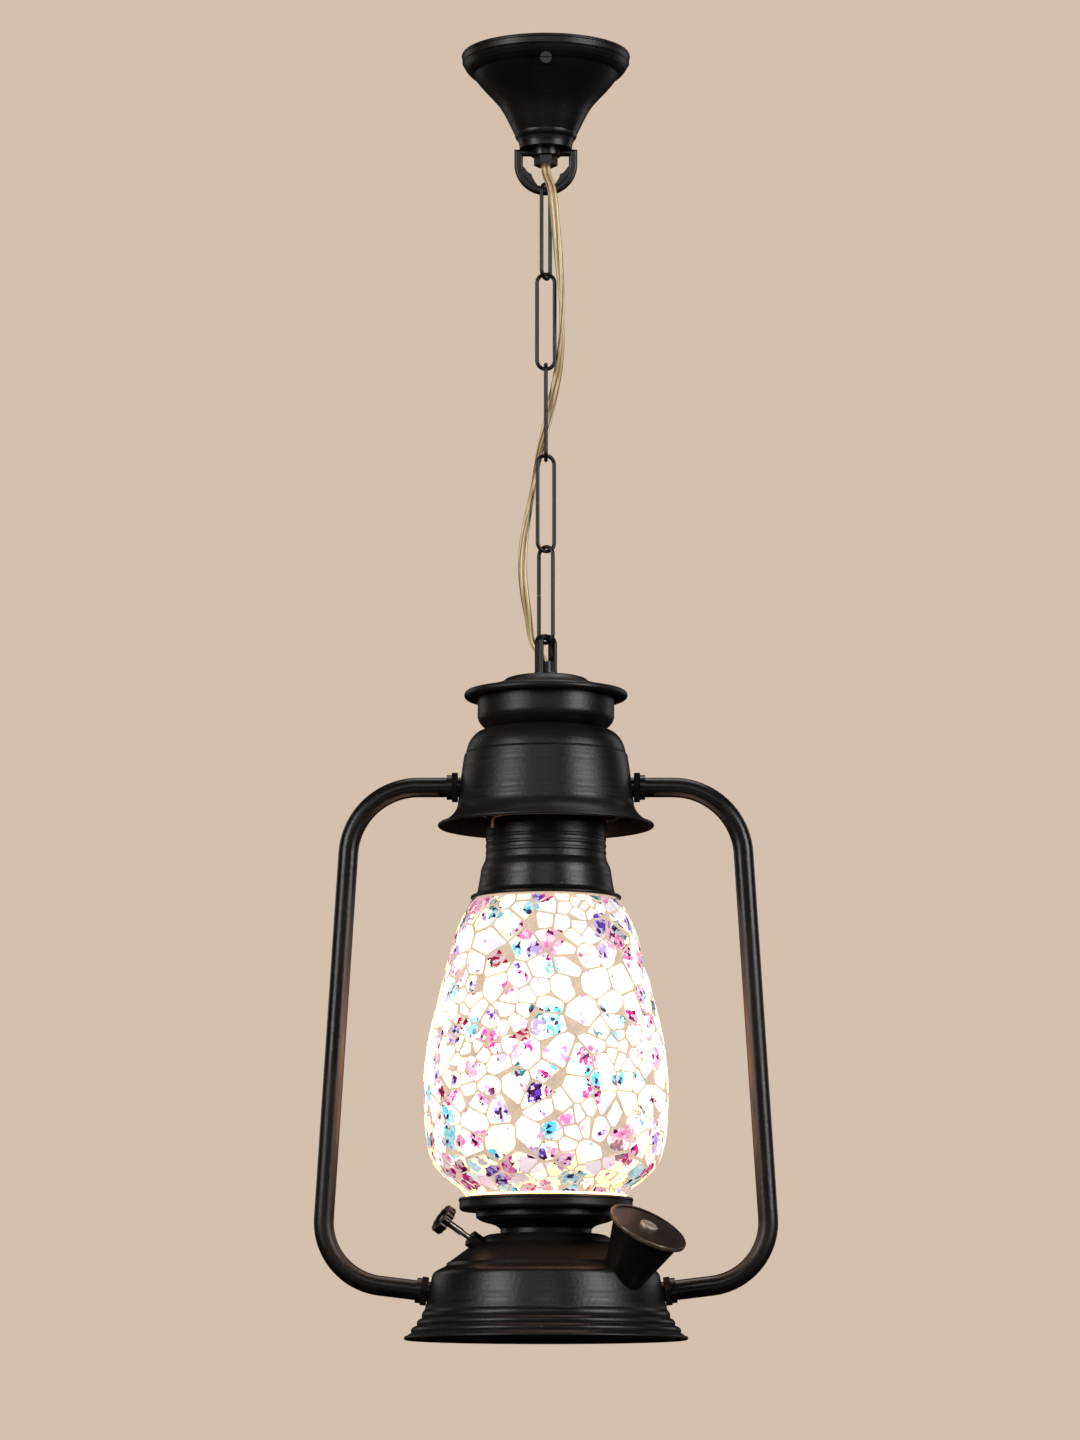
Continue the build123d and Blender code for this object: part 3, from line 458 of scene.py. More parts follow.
FLECK_SCALE = 520.0
FLECK_RAG_SCALE = 700.0
FLECK_RAGGED = 2.0 * MM
PALE_FLECK = (1.0, 0.94, 0.96)
PASTEL_FLECK = (1.0, 0.96, 0.96)
DARK_FLECK = (0.12, 0.03, 0.1)
CLEAR = (1.0, 1.0, 1.0)
DARK_SHARE = 0.16  # of the flecks
STRAY_FLECKS = (0.975, 0.98)  # of the random numbers: flecks above these lie outside the spots
LAMP_WARM = (1.0, 0.46, 0.2)
CHIP_GLOW = 2.7  # of a chip away from the lamp
LAMP_GLOW = 4.8  # added beside the lamp
CHIP_HAZE = 200.0


def fused_spots(tree, where, glow):
    """Spots fused on the chips: where they are, their colour and which are pastel."""
    ragged = wobbled(tree, where, SPOT_RAG_SCALE, SPOT_RAGGED)
    away, hue_draw, size_draw, soft_draw = random_cells(tree, ragged, SPOT_SCALE)
    hue = ramp(tree, hue_draw, SPOT_COLOURS, "CONSTANT")
    size = spread(tree, size_draw, *SPOT_SIZE)
    lost = spread(tree, glow, 0.0, SPOT_LOST, CHIP_GLOW, CHIP_GLOW + LAMP_GLOW)
    inside = worked_out(tree, "SUBTRACT", worked_out(tree, "SUBTRACT", size, lost), away)
    spot = spread(tree, inside, 0.0, 1.0, 0.0, SPOT_EDGE)
    return spot, hue, spread(tree, soft_draw, 0.0, 1.0, *SOFT_SPOTS)


def crushed_glass(tree, where, hue, soft):
    """The crushed glass of the spots: its colour, its stray flecks and the flecks' height."""
    ragged = wobbled(tree, where, FLECK_RAG_SCALE, FLECK_RAGGED)
    height, dark_draw, pale_draw, stray_draw = random_cells(tree, ragged, FLECK_SCALE)
    pale = mixed(tree, 0.5, hue, PALE_FLECK)
    flecked = mixed(tree, spread(tree, pale_draw, 0.0, 1.0, 0.42, 0.62), hue, pale)
    dark = ramp(tree, dark_draw, [(0.0, DARK_FLECK), (DARK_SHARE, CLEAR)], "CONSTANT")
    flecked = mixed(tree, 1.0, flecked, dark, "MULTIPLY")
    flecked = mixed(tree, soft, flecked, mixed(tree, 0.45, pale, PASTEL_FLECK))
    strays = spread(tree, stray_draw, 0.0, 0.8, *STRAY_FLECKS)
    return mixed(tree, strays, flecked, hue), strays, height


def mosaic_chips(name):
    """Lit chips: each has its own pale tint, and coloured spots of crushed glass lie on them."""
    finish, tree, shader = new_finish(name)
    where = object_place(tree)
    tint = put(tree, "ShaderNodeAttribute", {"attribute_name": "tint"}).outputs["Color"]
    glow = put(tree, "ShaderNodeAttribute", {"attribute_name": "glow"}).outputs["Fac"]
    spot, hue, soft = fused_spots(tree, where, glow)
    colour, strays, height = crushed_glass(tree, where, hue, soft)
    marked = worked_out(tree, "MAXIMUM", spot, strays)
    warm = mixed(tree, 1.0, tint, LAMP_WARM, "MULTIPLY")
    dimmed = spread(tree, soft, SPOT_GLOW, PASTEL_GLOW)
    share = put(tree, "ShaderNodeMapRange", None, {"To Min": 1.0}, {"Value": marked, "To Max": dimmed})
    links = {
        "Base Color": mixed(tree, marked, tint, colour),
        "Emission Color": mixed(tree, marked, warm, colour),
        "Emission Strength": worked_out(tree, "MULTIPLY", glow, share.outputs["Result"]),
        "Roughness": spread(tree, cloud(tree, where, CHIP_HAZE), 0.12, 0.3),
        "Normal": bump(tree, height, 0.25, 0.15 * MM),
    }
    feed(tree, shader, links)
    return finish


EDGE_AMBER = (0.7, 0.46, 0.27)
EDGE_AMBER_SCALE = 90.0
EDGE_GLOW_SCALE = 130.0
EDGE_SHADE = 0.4  # of the glow's colour, in the light from outside


def chip_edges(name, colour):
    """The chips' rounded edges, where the light comes through thicker and yellower."""
    finish, tree, shader = new_finish(name)
    where = object_place(tree)
    amber = cloud(tree, where, EDGE_AMBER_SCALE, 3.0)
    links = {
        "Emission Color": ramp(tree, amber, [(0.38, colour), (0.6, EDGE_AMBER)]),
        "Emission Strength": spread(tree, cloud(tree, where, EDGE_GLOW_SCALE), 0.4, 0.85, 0.3, 0.7),
    }
    feed(tree, shader, links)
    fix(shader, {"Base Color": opaque(tuple(EDGE_SHADE * c for c in colour)), "Roughness": 0.3})
    return finish


GROUT_GRIT = 800.0
GROUT_CLOUDS = 160.0
GROUT_SHADE = 0.8  # of the colour, in its darker clouds
GROUT_UNLIT = (0.25, 0.25, 0.25)  # of the colour, in the light from outside


def lit_grout(name, colour):
    """Gritty cement, with lamp light coming through it."""
    finish, tree, shader = new_finish(name)
    where = object_place(tree)
    grit = cloud(tree, where, GROUT_GRIT, 4.0)
    dark = tuple(c * GROUT_SHADE for c in colour)
    cement = ramp(tree, cloud(tree, where, GROUT_CLOUDS, 3.0), [(0.3, dark), (0.7, colour)])
    links = {
        "Base Color": mixed(tree, 1.0, cement, GROUT_UNLIT, "MULTIPLY"),
        "Emission Color": cement,
        "Emission Strength": spread(tree, grit, 0.68, 1.05),
        "Normal": bump(tree, grit, 0.5, 0.3 * MM),
    }
    feed(tree, shader, links)
    fix(shader, {"Roughness": 0.85})
    return finish


FROST_CLOUDS = 60.0
FROST_GRAIN = 1200.0
FROST_UNEVEN = 0.15  # of the strength, each way


def lit_glass(name, colour, strength, rough):
    """Frosted glass with the lamp behind it, a little uneven."""
    finish, tree, shader = new_finish(name)
    where = object_place(tree)
    weak = strength * (1 - FROST_UNEVEN)
    strong = strength * (1 + FROST_UNEVEN)
    links = {
        "Emission Strength": spread(tree, cloud(tree, where, FROST_CLOUDS), weak, strong),
        "Normal": bump(tree, cloud(tree, where, FROST_GRAIN), 0.1, 0.05 * MM),
    }
    feed(tree, shader, links)
    fix(shader, {"Base Color": opaque(colour), "Emission Color": opaque(colour), "Roughness": rough})
    return finish


PAPER_FIBRES = 90.0
PAPER_PALER = 1.15  # of the colour, in its paler fibres


def seamless_floor(name, colour, glow):
    """Studio paper that keeps the background's colour as far as it can be seen."""
    finish, tree, shader = new_finish(name)
    fibres = cloud(tree, object_place(tree), PAPER_FIBRES, 4.0)
    dim = tuple((1.0 - glow) * c for c in colour)
    pale = tuple(PAPER_PALER * c for c in dim)
    feed(tree, shader, {"Base Color": ramp(tree, fibres, [(0.3, dim), (0.7, pale)])})
    fix(shader, {"Emission Color": opaque(colour), "Emission Strength": glow})
    fix(shader, {"Roughness": 0.9, "Specular IOR Level": 0.0})
    return finish


def finish_of(name, make, *given, **more):
    """A finish by name, made the first time it is asked for."""
    return bpy.data.materials.get(name) or make(name, *given, **more)


def spun_paint():
    """The paint of the spun sheets and of their hems."""
    return finish_of("spun_paint", satin_paint, colours().paint, SPUN_ROUGH, turned=True)


# Modelling helpers


def clear_selection():
    """Leave edit mode and deselect everything."""
    if bpy.context.object and bpy.context.object.mode != "OBJECT":
        bpy.ops.object.mode_set(mode="OBJECT")
    bpy.ops.object.select_all(action="DESELECT")


def activate(piece):
    """Make one piece the only selected and active one."""
    clear_selection()
    piece.select_set(True)
    bpy.context.view_layer.objects.active = piece


def mesh_piece(name, points, faces, edges=()):
    """A new piece from points and faces, or from points and edges."""
    mesh = bpy.data.meshes.new(name)
    mesh.from_pydata(points, edges, faces)
    piece = bpy.data.objects.new(name, mesh)
    bpy.context.scene.collection.objects.link(piece)
    return piece


def apply_modifier(piece, kind, **settings):
    """Add a modifier with its settings and apply it."""
    activate(piece)
    modifier = piece.modifiers.new(kind.title(), kind)
    for name, value in settings.items():
        setattr(modifier, name, value)
    bpy.ops.object.modifier_apply(modifier=modifier.name)


# Angles up to which a surface looks smooth
TUBE_SMOOTH = radians(60)
SHEET_SMOOTH = radians(50)
CHIP_SMOOTH = radians(42)


def smooth(piece, angle):
    """Smooth shading up to an angle."""
    activate(piece)
    bpy.ops.object.shade_smooth_by_angle(angle=angle)


def settle(piece, slot, *finishes):
    """Apply a piece's place to its mesh, and give it its finishes; its slot is not used."""
    activate(piece)
    bpy.ops.object.transform_apply(location=True, rotation=True, scale=True)
    piece.data.materials.clear()
    for finish in finishes:
        piece.data.materials.append(finish)


MERGE_REACH = 0.01 * MM


def spin_profile(piece, steps):
    """Spin a piece's edges once round the lantern's axis and close the seam."""
    activate(piece)
    bpy.ops.object.mode_set(mode="EDIT")
    bpy.ops.mesh.select_all(action="SELECT")
    bpy.ops.mesh.spin(steps=steps, angle=2 * pi, center=(0, 0, 0), axis=(0, 0, 1))
    bpy.ops.mesh.select_all(action="SELECT")
    bpy.ops.mesh.remove_doubles(threshold=MERGE_REACH)
    bpy.ops.mesh.normals_make_consistent(inside=False)
    bpy.ops.object.mode_set(mode="OBJECT")


# Flex and spring


def route_line(points, steps):
    """Points along the smooth NURBS line of a route."""
    curve = bpy.data.curves.new("route", "CURVE")
    curve.dimensions = "3D"
    curve.resolution_u = steps
    spline = curve.splines.new("NURBS")
    spline.points.add(len(points) - 1)
    for knot, point in zip(spline.points, points):
        knot.co = (*point, 1.0)
    spline.order_u = 3
    spline.use_endpoint_u = True
    holder = bpy.data.objects.new("route", curve)
    bpy.context.scene.collection.objects.link(holder)
    mesh = bpy.data.meshes.new_from_object(holder)
    line = [vertex.co.copy() for vertex in mesh.vertices]
    bpy.data.objects.remove(holder)
    bpy.data.meshes.remove(mesh)
    return line


def directions(line):
    """The way a line runs at each of its points."""
    last = len(line) - 1
    return [(line[min(i + 1, last)] - line[max(i - 1, 0)]).normalized() for i in range(len(line))]


def carried_sides(ways, first):
    """A side direction carried along a line without twisting."""
    sides = []
    side = first
    for way in ways:
        side = (side - way * side.dot(way)).normalized()
        sides.append(side)
    return sides


def tube(line, ways, sides, radius, around):
    """Points, faces and UVs of a closed round tube along a line."""
    points = []
    for centre, way, side in zip(line, ways, sides):
        other = way.cross(side)
        for k in range(around):
            turn = 2 * pi * k / around
            points.append(centre + (side * cos(turn) + other * sin(turn)) * radius)
    faces = []
    uvs = []
    for i in range(len(line) - 1):
        ring = i * around
        after = ring + around
        for k in range(around):
            step = (k + 1) % around
            faces.append((ring + k, ring + step, after + step, after + k))
            left = k / around
            right = (k + 1) / around
            uvs.append(((left, i), (right, i), (right, i + 1), (left, i + 1)))
    top = tuple(range(around - 1, -1, -1))
    foot = tuple((len(line) - 1) * around + k for k in range(around))
    for cap in (top, foot):
        faces.append(cap)
        uvs.append(tuple((0.5, 0.0) for _ in cap))
    return points, faces, uvs


def tube_piece(name, tubes, uv_step):
    """One piece of several tubes, with a UV map that runs round and along them."""
    points = []
    faces = []
    uvs = []
    for tube_points, tube_faces, tube_uvs in tubes:
        start = len(points)
        points += tube_points
        faces += [tuple(start + k for k in face) for face in tube_faces]
        uvs += tube_uvs
    piece = mesh_piece(name, points, faces)
    layer = piece.data.uv_layers.new(name="UVMap")
    flat = [value for face in uvs for u, v in face for value in (u, v * uv_step)]
    layer.data.foreach_set("uv", flat)
    return piece


FLEX_STEPS = 15  # points of the line between two points of the route
CORE_SIDES = 12
FLEX_UV_STEP = 0.2  # V between two points of the line


def twisted_sides(line, ways):
    """The direction from one core to the other, which turns slowly along the flex."""
    given = sizes()
    sides = carried_sides(ways, Vector((1, 0, 0)))
    gone = 0.0
    for i, (way, side) in enumerate(zip(ways, sides)):
        if i:
            gone += (line[i] - line[i - 1]).length
        turn = 2 * pi * max(0.0, gone - given.flex_straight) / given.flex_twist
        sides[i] = side * cos(turn) + way.cross(side) * sin(turn)
    return sides


def flex_cuts(line):
    """Where the flex is cut: at its ends and beside each link's middle."""
    cuts = [0]
    for link in LINKS:
        low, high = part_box(f"chain_{link}")
        middle = (low.z + high.z) / 2
        cuts.append(min(range(len(line)), key=lambda i: abs(line[i].z - middle)))
    cuts.append(len(line) - 1)
    return cuts


def make_flex():
    """Six stretches of one clear twin flex, cut beside the middle of each link of the chain."""
    given = sizes()
    copper = finish_of("sheathed_copper", sheathed_copper, colours().copper)
    line = route_line(FLEX_ROUTE, FLEX_STEPS)
    ways = directions(line)
    sides = twisted_sides(line, ways)
    cuts = flex_cuts(line)
    for number, (first, last) in enumerate(zip(cuts, cuts[1:]), 1):
        part = slice(first, last + 1)
        cores = []
        for hand in (-1, 1):
            offsets = [side * hand * given.core_spread for side in sides[part]]
            core_line = [point + offset for point, offset in zip(line[part], offsets)]
            cores.append(tube(core_line, ways[part], sides[part], given.core_radius, CORE_SIDES))
        piece = tube_piece(f"twin_flex_{number}", cores, FLEX_UV_STEP)
        settle(piece, "clear_flex", copper)
        smooth(piece, TUBE_SMOOTH)
        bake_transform(piece)
        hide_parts(f"flex_{number}")


SPRING_TURNS = 6
SPRING_LOW_R = 36.5 * MM
SPRING_TOP_R = 33.0 * MM
SPRING_TAIL_TURN = radians(228)
SPRING_TAIL_BEND = 3.0 * MM  # radius of the hook at its lower end
SPRING_TAIL_DROP = 3.0 * MM
SPRING_STEPS = 40  # points in each turn
HOOK_STEPS = 3
WIRE_SIDES = 10
WIRE_UV_STEP = 0.1
COPPER_WIRE = (1.0, 0.58, 0.4)
COPPER_STAIN = (0.75, 0.38, 0.25)
COPPER_ROUGH = 0.42
COPPER_METALLIC = 0.4  # the wire is dull with lacquer


def spring_line(low, high, wire_r):
    """Middle of the spring's wire, from its hooked tail up."""
    line = []
    for i in range(SPRING_TURNS * SPRING_STEPS + 1):
        share = i / (SPRING_TURNS * SPRING_STEPS)
        radius = SPRING_LOW_R + (SPRING_TOP_R - SPRING_LOW_R) * share
        angle = SPRING_TAIL_TURN + 2 * pi * SPRING_TURNS * share
        height = low + wire_r + (high - low - 2 * wire_r) * share
        line.append(Vector((radius * cos(angle), radius * sin(angle), height)))
    down = Vector((0, 0, -1))
    back = (line[0] - line[1]).normalized()
    hook = []
    for k in range(HOOK_STEPS, 0, -1):
        turn = pi / 2 * k / HOOK_STEPS
        hook.append(line[0] + (back * sin(turn) + down * (1 - cos(turn))) * SPRING_TAIL_BEND)
    return [hook[0] + down * SPRING_TAIL_DROP, *hook, *line]


def make_spring():
    """The wound spring between the hood and the neck."""
    low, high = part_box("neck_spring")
    wire_r = sizes().spring_wire / 2
    line = spring_line(low.z, high.z, wire_r)
    ways = directions(line)
    inward = Vector((-cos(SPRING_TAIL_TURN), -sin(SPRING_TAIL_TURN), 0))
    wire = tube(line, ways, carried_sides(ways, inward), wire_r, WIRE_SIDES)
    piece = tube_piece("wound_spring", [wire], WIRE_UV_STEP)
    look = (COPPER_WIRE, COPPER_ROUGH, COPPER_STAIN, COPPER_METALLIC)
    copper = finish_of("copper_spring", bare_metal, *look)
    settle(piece, "spring_steel", copper)
    smooth(piece, TUBE_SMOOTH)
    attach(piece, "lantern")
    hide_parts("neck_spring")
    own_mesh(piece)


# Globe

OUTWARD = 0.05  # a face on the outside points away from the axis by at least this share


def outer_profile(node):
    """(Z, radius) points of a turned node's outside, from its foot up."""
    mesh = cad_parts[node].data
    rows = {}
    for face in mesh.polygons:
        middle = face.center
        if face.normal.x * middle.x + face.normal.y * middle.y > OUTWARD * hypot(middle.x, middle.y):
            for index in face.vertices:
                place = mesh.vertices[index].co
                rows[round(place.z, 5)] = hypot(place.x, place.y)
    return sorted(rows.items())


def radius_at(profile, height):
    """Radius of a profile at a height, between its points."""
    for (z0, r0), (z1, r1) in zip(profile, profile[1:]):
        if z0 <= height <= z1:
            return r0 + (r1 - r0) * (height - z0) / (z1 - z0)
    return profile[0][1] if height < profile[0][0] else profile[-1][1]


GLOBE_FOOT = 71.9 * MM  # height of the mosaic's lower edge above the lantern's foot
GLOBE_HEAD = 219.4 * MM
HOT_HEIGHT = 142.0 * MM  # height of the bulb's middle
HOT_REACH = 46.0 * MM
GLOBE_STEPS = 96
GLOBE_ROWS = 44
BAND_ROWS = (0, 2 * MM, 4 * MM)  # heights of the plain band's rings above the glass's foot
BAND_GLOW = 5.0
BAND_ROUGH = 0.35
HAIR = 0.2 * MM  # taken off a height that would otherwise lie on an edge


def lamp_share(height):
    """How much of the lamp's light reaches the globe at a height, from 0 to 1."""
    return exp(-(((height - HOT_HEIGHT) / HOT_REACH) ** 2))


def make_globe():
    """The globe's own glass: grout outside, a plain glowing band at the foot, open at both ends."""
    given = sizes()
    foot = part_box("base")[0].z
    low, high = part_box("glass_globe")
    profile = outer_profile("glass_globe")
    band_r = radius_at(profile, low.z + MM)
    points = [(band_r, 0, low.z + row) for row in BAND_ROWS]
    for k in range(GLOBE_ROWS + 1):
        height = foot + GLOBE_FOOT + (GLOBE_HEAD - GLOBE_FOOT) * k / GLOBE_ROWS
        points.append((radius_at(profile, height) - given.grout_sunk, 0, height))
    points.append((radius_at(profile, high.z - HAIR), 0, high.z))
    edges = [(i, i + 1) for i in range(len(points) - 1)]
    globe = mesh_piece("globe_glass", points, [], edges)
    spin_profile(globe, GLOBE_STEPS)
    apply_modifier(globe, "SOLIDIFY", thickness=given.globe_wall, offset=-1.0, use_even_offset=True)
    grout = finish_of("lit_grout", lit_grout, colours().grout)
    band = finish_of("lit_band", lit_glass, LAMP_WARM, BAND_GLOW, BAND_ROUGH)
    settle(globe, "mosaic_glass", grout, band)
    for face in globe.data.polygons:
        in_mosaic = face.center.z > foot + GLOBE_FOOT - HAIR
        face.material_index = 0 if in_mosaic else 1
    smooth(globe, SHEET_SMOOTH)
    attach(globe, "lantern")
    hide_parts("glass_globe")


def clipped(polygon, at, facing):
    """The part of a flat polygon behind the line through a point, square to a direction."""
    kept = []
    for here, after in zip(polygon, polygon[1:] + polygon[:1]):
        here_out = (here[0] - at[0]) * facing[0] + (here[1] - at[1]) * facing[1]
        after_out = (after[0] - at[0]) * facing[0] + (after[1] - at[1]) * facing[1]
        if here_out <= 0:
            kept.append(here)
        if (here_out < 0 < after_out) or (after_out < 0 < here_out):
            share = here_out / (here_out - after_out)
            kept.append(tuple(a + (b - a) * share for a, b in zip(here, after)))
    return kept


def cut_corners(polygon, share):
    """A polygon with each corner cut off once."""
    rounded = []
    for here, after in zip(polygon, polygon[1:] + polygon[:1]):
        rounded.append(tuple(a + (b - a) * share for a, b in zip(here, after)))
        rounded.append(tuple(a + (b - a) * (1 - share) for a, b in zip(here, after)))
    return rounded


CHIP_TRIES = 9000  # random places, of which those with room get a chip
CHIP_SEED = 21
CHIP_PALE = (
    (1.0, 0.98, 0.93),
    (1.0, 0.99, 0.97),
    (1.0, 0.95, 0.82),
    (1.0, 0.97, 0.98),
    (1.0, 0.9, 0.7),
)
FOOT_GLOW = 0.85  # share left at the mosaic's lower edge
GLOW_SPREAD = (0.82, 1.15)
CHIPPED_SHARE = 0.4  # of the chips, broken along one more line, which leaves bare grout
CHIPPED_REACH = (0.36, 0.52)  # from a chip's middle to that line, as shares of its spacing
SMALL_NEAR_EDGE = 16 * MM  # the chips shrink this close to the mosaic's edges
COARSE_MEAN = 0.42  # between the smallest and the largest chips
COARSE_SWING = 0.9
COARSE_SCALE = 34.0
SPACING_SPREAD = (0.75, 1.25)
GAP_SPREAD = (0.6, 1.6)
PROUD_SPREAD = (-0.25 * MM, 0.2 * MM)  # how far a chip stands out beside the others
CORNER_SPREAD = (0.05, 0.18)  # cut off each side of a chip at its corners
STEEPEST = 0.4  # least rise of a chip's own plane
CHIP_BEVEL_ANGLE = radians(48)


def chip_places(profile, foot, draw):
    """Middles of the chips, spread over the globe, with the spacing of each."""
    given = sizes()
    places = []
    for _ in range(CHIP_TRIES):
        height = GLOBE_FOOT + (GLOBE_HEAD - GLOBE_FOOT) * draw.random()
        radius = radius_at(profile, foot + height)
        turn = 2 * pi * draw.random()
        place = Vector((radius * cos(turn), radius * sin(turn), foot + height))
        coarse = COARSE_MEAN + COARSE_SWING * noise.noise(place * COARSE_SCALE)
        from_edge = min(height - GLOBE_FOOT, GLOBE_HEAD - height)
        coarse = min(1.0, max(0.0, coarse)) * min(1.0, from_edge / SMALL_NEAR_EDGE)
        spacing = given.chip_small + (given.chip_large - given.chip_small) * coarse
        spacing *= draw.uniform(*SPACING_SPREAD)
        if all((place - other).length > (spacing + reach) / 2 for other, reach in places):
            places.append((place, spacing))
    return places


def chip_outline(place, up, side, places, foot, gap):
    """One chip's outline in its own plane, as (along, up) points."""
    reach = 2 * sizes().chip_large
    outline = [(-reach, -reach), (reach, -reach), (reach, reach), (-reach, reach)]
    for other, _ in places:
        away = other - place
        if 0 < away.length < 2 * reach:
            flat = Vector((away.dot(side), away.dot(up)))
            far = flat.length
            if far > MM:
                facing = flat / far
                outline = clipped(outline, facing * (far / 2 - gap / 2), facing)
    over = foot + GLOBE_HEAD - place.z
    under = place.z - foot - GLOBE_FOOT
    rise = max(STEEPEST, up.z)
    outline = clipped(outline, (0, over / rise), (0, 1))
    return clipped(outline, (0, -under / rise), (0, -1))


def chipped(outline, spacing, draw):
    """An outline that may be broken along one more line."""
    if draw.random() >= CHIPPED_SHARE:
        return outline
    turn = draw.uniform(0, 2 * pi)
    facing = Vector((cos(turn), sin(turn)))
    return clipped(outline, facing * spacing * draw.uniform(*CHIPPED_REACH), facing)


def chip_glow(height, draw):
    """How strongly a chip glows at a height above the lantern's foot."""
    near_foot = min(1.0, (height - GLOBE_FOOT) / SMALL_NEAR_EDGE)
    strength = CHIP_GLOW + LAMP_GLOW * lamp_share(height)
    return strength * draw.uniform(*GLOW_SPREAD) * (FOOT_GLOW + (1 - FOOT_GLOW) * near_foot)


def laid_on_globe(profile, place, side, up, flat_points, proud):
    """Points of a chip's own plane, laid on the globe."""
    laid = []
    for along, rise in flat_points:
        spot = place + side * along + up * rise
        turn = atan2(spot.y, spot.x)
        radius = radius_at(profile, spot.z) + proud
        laid.append((radius * cos(turn), radius * sin(turn), spot.z))
    return laid


def laid_chips():
    """Points and faces of all the chips' tops, with each face's tint and glow."""
    draw = random.Random(CHIP_SEED)
    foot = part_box("base")[0].z
    profile = outer_profile("glass_globe")
    places = chip_places(profile, foot, draw)
    points = []
    faces = []
    tints = []
    glows = []
    for place, spacing in places:
        lean = (radius_at(profile, place.z + MM) - radius_at(profile, place.z - MM)) / (2 * MM)
        around = atan2(place.y, place.x)
        out = Vector((cos(around), sin(around), 0))
        side = Vector((-sin(around), cos(around), 0))
        up = (out * lean + Vector((0, 0, 1))).normalized()
        gap = sizes().grout_gap * draw.uniform(*GAP_SPREAD)
        outline = chipped(chip_outline(place, up, side, places, foot, gap), spacing, draw)
        tint = draw.choice(CHIP_PALE)
        glow = chip_glow(place.z - foot, draw)
        proud = draw.uniform(*PROUD_SPREAD)
        if len(outline) < 3:
            continue
        rim = cut_corners(outline, draw.uniform(*CORNER_SPREAD))
        middle = tuple(sum(point[k] for point in rim) / len(rim) for k in (0, 1))
        start = len(points)
        points += laid_on_globe(profile, place, side, up, [middle, *rim], proud)
        for k in range(len(rim)):
            faces.append((start, start + 1 + k, start + 1 + (k + 1) % len(rim)))
            tints.append(tint)
            glows.append(glow)
    return points, faces, tints, glows


def make_chips():
    """Several hundred irregular chips, each a closed domed tile on the globe."""
    given = sizes()
    points, faces, tints, glows = laid_chips()
    chips = mesh_piece("mosaic_chips", points, faces)
    colour_layer = chips.data.attributes.new("tint", "FLOAT_COLOR", "FACE")
    colour_layer.data.foreach_set("color", [value for tint in tints for value in opaque(tint)])
    glow_layer = chips.data.attributes.new("glow", "FLOAT", "FACE")
    glow_layer.data.foreach_set("value", glows)
    chips.data.materials.append(finish_of("mosaic_chips", mosaic_chips))
    chips.data.materials.append(finish_of("chip_edges", chip_edges, colours().glow))
    thick = given.chip_thick
    apply_modifier(chips, "SOLIDIFY", thickness=thick, offset=-1.0, material_offset_rim=1)
    apply_modifier(
        chips,
        "BEVEL",
        width=given.chip_round,
        segments=1,
        limit_method="ANGLE",
        angle_limit=CHIP_BEVEL_ANGLE,
        use_clamp_overlap=True,
        material=1,
    )
    smooth(chips, CHIP_SMOOTH)
    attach(chips, "lantern")


# Rolled hems

# Each hem: name, body, node, whether it is at the node's top
HEMS = (
    ("cup_hem", "ceiling", "ceiling_cup", True),
    ("hood_hem", "lantern", "hood", False),
    ("neck_hem", "neck", "neck", False),
    ("dish_hem", "lantern", "gallery_dish", True),
    ("base_hem", "lantern", "base", False),
)
HEM_STEPS = 144
HEM_SIDES = 14
HEM_INSET = 0.6  # from the sheet's edge to the curl's middle, in radii of the curl


def make_hem(name, body, node, at_top):
    """A rolled edge on a sheet: a curl that is open by a slit towards the inside."""
    given = sizes()
    low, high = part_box(node)
    hem = given.hem_radius
    centre = (high.x - HEM_INSET * hem, 0, high.z - hem if at_top else low.z + hem)
    clear_selection()
    bpy.ops.mesh.primitive_circle_add(
        vertices=HEM_SIDES, radius=hem, location=centre, rotation=(pi / 2, 0, 0)
    )
    piece = bpy.context.object
    piece.name = name
    bpy.ops.object.transform_apply(location=True, rotation=True, scale=True)
    way = 1 if at_top else -1
    slit = min(piece.data.vertices, key=lambda v: v.co.x + way * v.co.z).index
    bpy.ops.object.mode_set(mode="EDIT")
    bpy.ops.mesh.select_all(action="DESELECT")
    bpy.ops.object.mode_set(mode="OBJECT")
    piece.data.vertices[slit].select = True
    bpy.ops.object.mode_set(mode="EDIT")
    bpy.ops.mesh.delete(type="VERT")
    spin_profile(piece, HEM_STEPS)
    apply_modifier(piece, "SOLIDIFY", thickness=given.hem_sheet, offset=-1.0, use_even_offset=True)
    settle(piece, "black_paint", spun_paint())
    smooth(piece, SHEET_SMOOTH)
    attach(piece, body)


# Finishes of the solids

STEEL_STAIN = (0.2, 0.15, 0.11)
BRASS_STAIN = (0.35, 0.2, 0.08)
POLISHED_ROUGH = 0.3  # of the steel and the brass
BULB_GLOW = 6.0
BULB_ROUGH = 0.3
# Metals inside or in small pieces: colour, roughness and stain
SMALL_METALS = {
    "dark_steel": ((0.09, 0.075, 0.065), 0.3, (0.05, 0.03, 0.02)),
    "screw_steel": ((0.8, 0.77, 0.72), 0.48, (0.5, 0.42, 0.34)),
    "zinc": ((0.5, 0.5, 0.5), 0.35, (0.3, 0.29, 0.27)),
}
# Moulded pieces: colour and roughness
MOULDINGS = {
    "black_moulding": ((0.02, 0.02, 0.02), 0.4),
    "ceramic": ((0.8, 0.78, 0.72), 0.5),
    "lead_sheath": ((0.6, 0.42, 0.2), 0.3),
}
